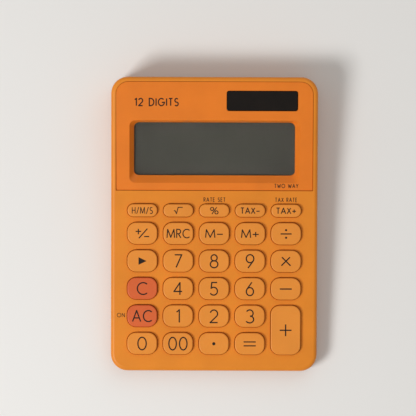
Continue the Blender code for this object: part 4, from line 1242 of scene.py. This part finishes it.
def cross_recess(middle, bottom):
    """Two crossing wedges, narrower towards their bottom."""
    arms = []
    for turned_by in (0, 90):
        arm = block("recess_arm", (-RECESS_REACH, -RECESS_HALF, -MM),
                    (RECESS_REACH, RECESS_HALF, RECESS_DEPTH))
        for vertex in arm.data.vertices:
            if vertex.co.z > 0:
                vertex.co.x *= RECESS_NARROWS[0]
                vertex.co.y *= RECESS_NARROWS[1]
        arm.data.transform(Matrix.Translation((middle.x, middle.y, bottom)) @
                           Matrix.Rotation(math.radians(turned_by), 4, "Z"))
        arms.append(arm)
    return arms


def screw(node, head_height):
    """Head down, its shank up into the boss, with a thread of sharp rings."""
    low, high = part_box(node)
    middle = (low + high) / 2
    head = (high.x - low.x) / 2
    foot = low.z + head_height
    profile = [(0, low.z), (head * 0.72, low.z), (head * 0.92, low.z + 0.12 * MM), (head, low.z + 0.35 * MM),
               (head, foot - 0.1 * MM), (head - 0.1 * MM, foot), (SCREW_CORE, foot)]
    rings = int((high.z - foot - 1.0 * MM) / THREAD_PITCH)
    for ring in range(rings):
        start = foot + 0.25 * MM + ring * THREAD_PITCH
        profile += [(SCREW_CORE, start), (SCREW_CREST, start + 0.2 * MM), (SCREW_CORE, start + 0.4 * MM)]
    profile += [(SCREW_CORE, high.z - 0.7 * MM), (0.25 * MM, high.z), (0, high.z)]
    piece = turned(f"{node}_body", profile, (middle.x, middle.y, 0), 24)
    for arm in cross_recess(middle, low.z):
        cut(piece, arm)
    shade(piece, 40)
    return piece


for corner in CORNERS:
    node = f"case_screw_{corner}"
    settle(screw(node, 1.3 * MM), "housing", "screw_steel", zinc, node)
settle(screw("battery_cover_screw", 0.8 * MM), "battery_cover", "screw_steel", zinc, "battery_cover_screw")

cover = block("battery_cover_moulding", cover_low, cover_high)
round_uprights(cover, 1.5 * MM, 5)
round_edges(cover, at_height(cover_low.z), 0.25 * MM, 3)
sink = [(0, under), (2.7 * MM, under), (2.7 * MM, case_low.z - FLARE), (2.3 * MM, case_low.z + FLARE),
        (2.3 * MM, case_low.z + 1.1 * MM), (SCREW_HOLE, case_low.z + 1.1 * MM),
        (SCREW_HOLE, cover_high.z + MM), (0, cover_high.z + MM)]
cut(cover, turned("cover_sink", sink, (cover_screw.x, cover_screw.y, 0)))
for number in range(RIDGES):
    x = cover_low.x + 3 * MM + number * RIDGE_PITCH
    groove = block("grip_groove", (x - 0.3 * MM, cover_low.y + 5 * MM, under),
                   (x + 0.3 * MM, cover_high.y - 5 * MM, cover_low.z + RIDGE_DEPTH))
    round_uprights(groove, 0.28 * MM, 4)
    cut(cover, groove)
shade(cover)
settle(cover, "battery_cover", "rear_plastic", rear_plastic, "battery_cover")


# ---- Button cell -----------------------------------------------------------------------------
# A standard 11.6 mm cell: a steel can rolled over a seal, and a smaller cap. It stays blank.

cell_middle = middle_of("button_cell")
can = (cell_high.x - cell_low.x) / 2
rim = cell_high.z - 0.6 * MM
button = turned("button_cell_can", [
    (0, cell_low.z), (can - 0.5 * MM, cell_low.z), (can - 0.15 * MM, cell_low.z + 0.12 * MM),
    (can, cell_low.z + 0.5 * MM), (can, rim - 0.3 * MM), (can - 0.12 * MM, rim - 0.08 * MM),
    (can - 0.3 * MM, rim), (can - 0.55 * MM, rim), (can - 0.6 * MM, rim - 0.15 * MM),
    (can - 0.8 * MM, rim - 0.15 * MM), (can - 0.85 * MM, cell_high.z - 0.15 * MM),
    (can - 1.05 * MM, cell_high.z), (0, cell_high.z)], (cell_middle.x, cell_middle.y, 0), 48)
shade(button)
plate = coated("nickel_plate", (0.58, 0.57, 0.55), (0.68, 0.67, 0.65), 300, 0.18, 0.32, (1, 1, 5),
               metallic=1.0)
settle(button, "housing", "cell_steel", plate, "button_cell")


# ---- Feet and label --------------------------------------------------------------------------
# Four black rubber feet are glued in round seats. A blank foil label lies in a shallow pocket.

foot_rubber = silicone("black_rubber", (0.026, 0.026, 0.026))
for corner in CORNERS:
    node = f"foot_{corner}"
    low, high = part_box(node)
    middle = (low + high) / 2
    reach = (high.x - low.x) / 2
    profile = [(0, 0.12 * MM), (reach * 0.35, 0.12 * MM), (reach * 0.4, 0), (reach - 0.55 * MM, 0)]
    profile += [(reach - 0.4 * MM + 0.4 * MM * math.sin(a), 0.4 * MM - 0.4 * MM * math.cos(a))
                for a in (math.radians(15 * step) for step in range(7))]
    profile += [(reach, high.z), (0, high.z)]
    foot = turned(f"{node}_pad", profile, (middle.x, middle.y, 0))
    shade(foot)
    settle(foot, "housing", "foot_rubber", foot_rubber, node)

label_low, label_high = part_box("rating_label")
label = block("foil_label", label_low, label_high)
round_uprights(label, 1.0 * MM, 6)
round_edges(label, at_height(label_low.z), 0.05 * MM, 2)
shade(label)
foil = coated("label_foil", (0.50, 0.50, 0.50), (0.60, 0.60, 0.59), 160, 0.35, 0.5, (1, 14, 1),
              metallic=0.9)
settle(label, "housing", "label_foil", foil, "rating_label")


# ---- Floor, light and camera -----------------------------------------------------------------
# A pale table, a large soft light from the front left, and a camera straight above.

CAMERA_HEIGHT = 1.80
VIEW_WIDTH = 0.2134            # of the table, across the picture
CAMERA_PLACE = (-3.2 * MM, 8.3 * MM)
CAMERA_ROLL = math.radians(0.2)

bpy.ops.object.select_all(action="DESELECT")
bpy.ops.mesh.primitive_plane_add(size=6, location=(0, 0, 0))
floor = bpy.context.object
floor.name = "table"
table_paint, table_shader = new_material("table_paint")
table_shader.inputs["Base Color"].default_value = (0.80, 0.79, 0.77, 1)
table_shader.inputs["Roughness"].default_value = 0.6
floor.data.materials.append(table_paint)


def soft_light(name, place, size, power, aim=(0, 0, 0)):
    bpy.ops.object.light_add(type="AREA", location=place)
    lamp = bpy.context.object
    lamp.name = name
    lamp.data.size = size
    lamp.data.energy = power
    lamp.rotation_euler = (Vector(aim) - Vector(place)).to_track_quat("-Z", "Y").to_euler()
    return lamp


soft_light("key_light", (-0.75, -0.45, 0.95), 0.40, 10.9)
soft_light("fill_light", (0.5, 0.9, 1.2), 1.4, 4)
world = bpy.data.worlds.new("studio")
world.use_nodes = True
world.node_tree.nodes["Background"].inputs["Color"].default_value = (1.0, 0.98, 0.95, 1)
world.node_tree.nodes["Background"].inputs["Strength"].default_value = 0.38
bpy.context.scene.world = world

bpy.ops.object.camera_add(location=(*CAMERA_PLACE, CAMERA_HEIGHT), rotation=(0, 0, CAMERA_ROLL))
camera = bpy.context.object
camera.name = "camera"
camera.data.sensor_width = 36
camera.data.lens = 36 * CAMERA_HEIGHT / VIEW_WIDTH
camera.data.clip_start = 0.01
bpy.context.scene.camera = camera
bpy.context.scene.view_settings.view_transform = "Standard"
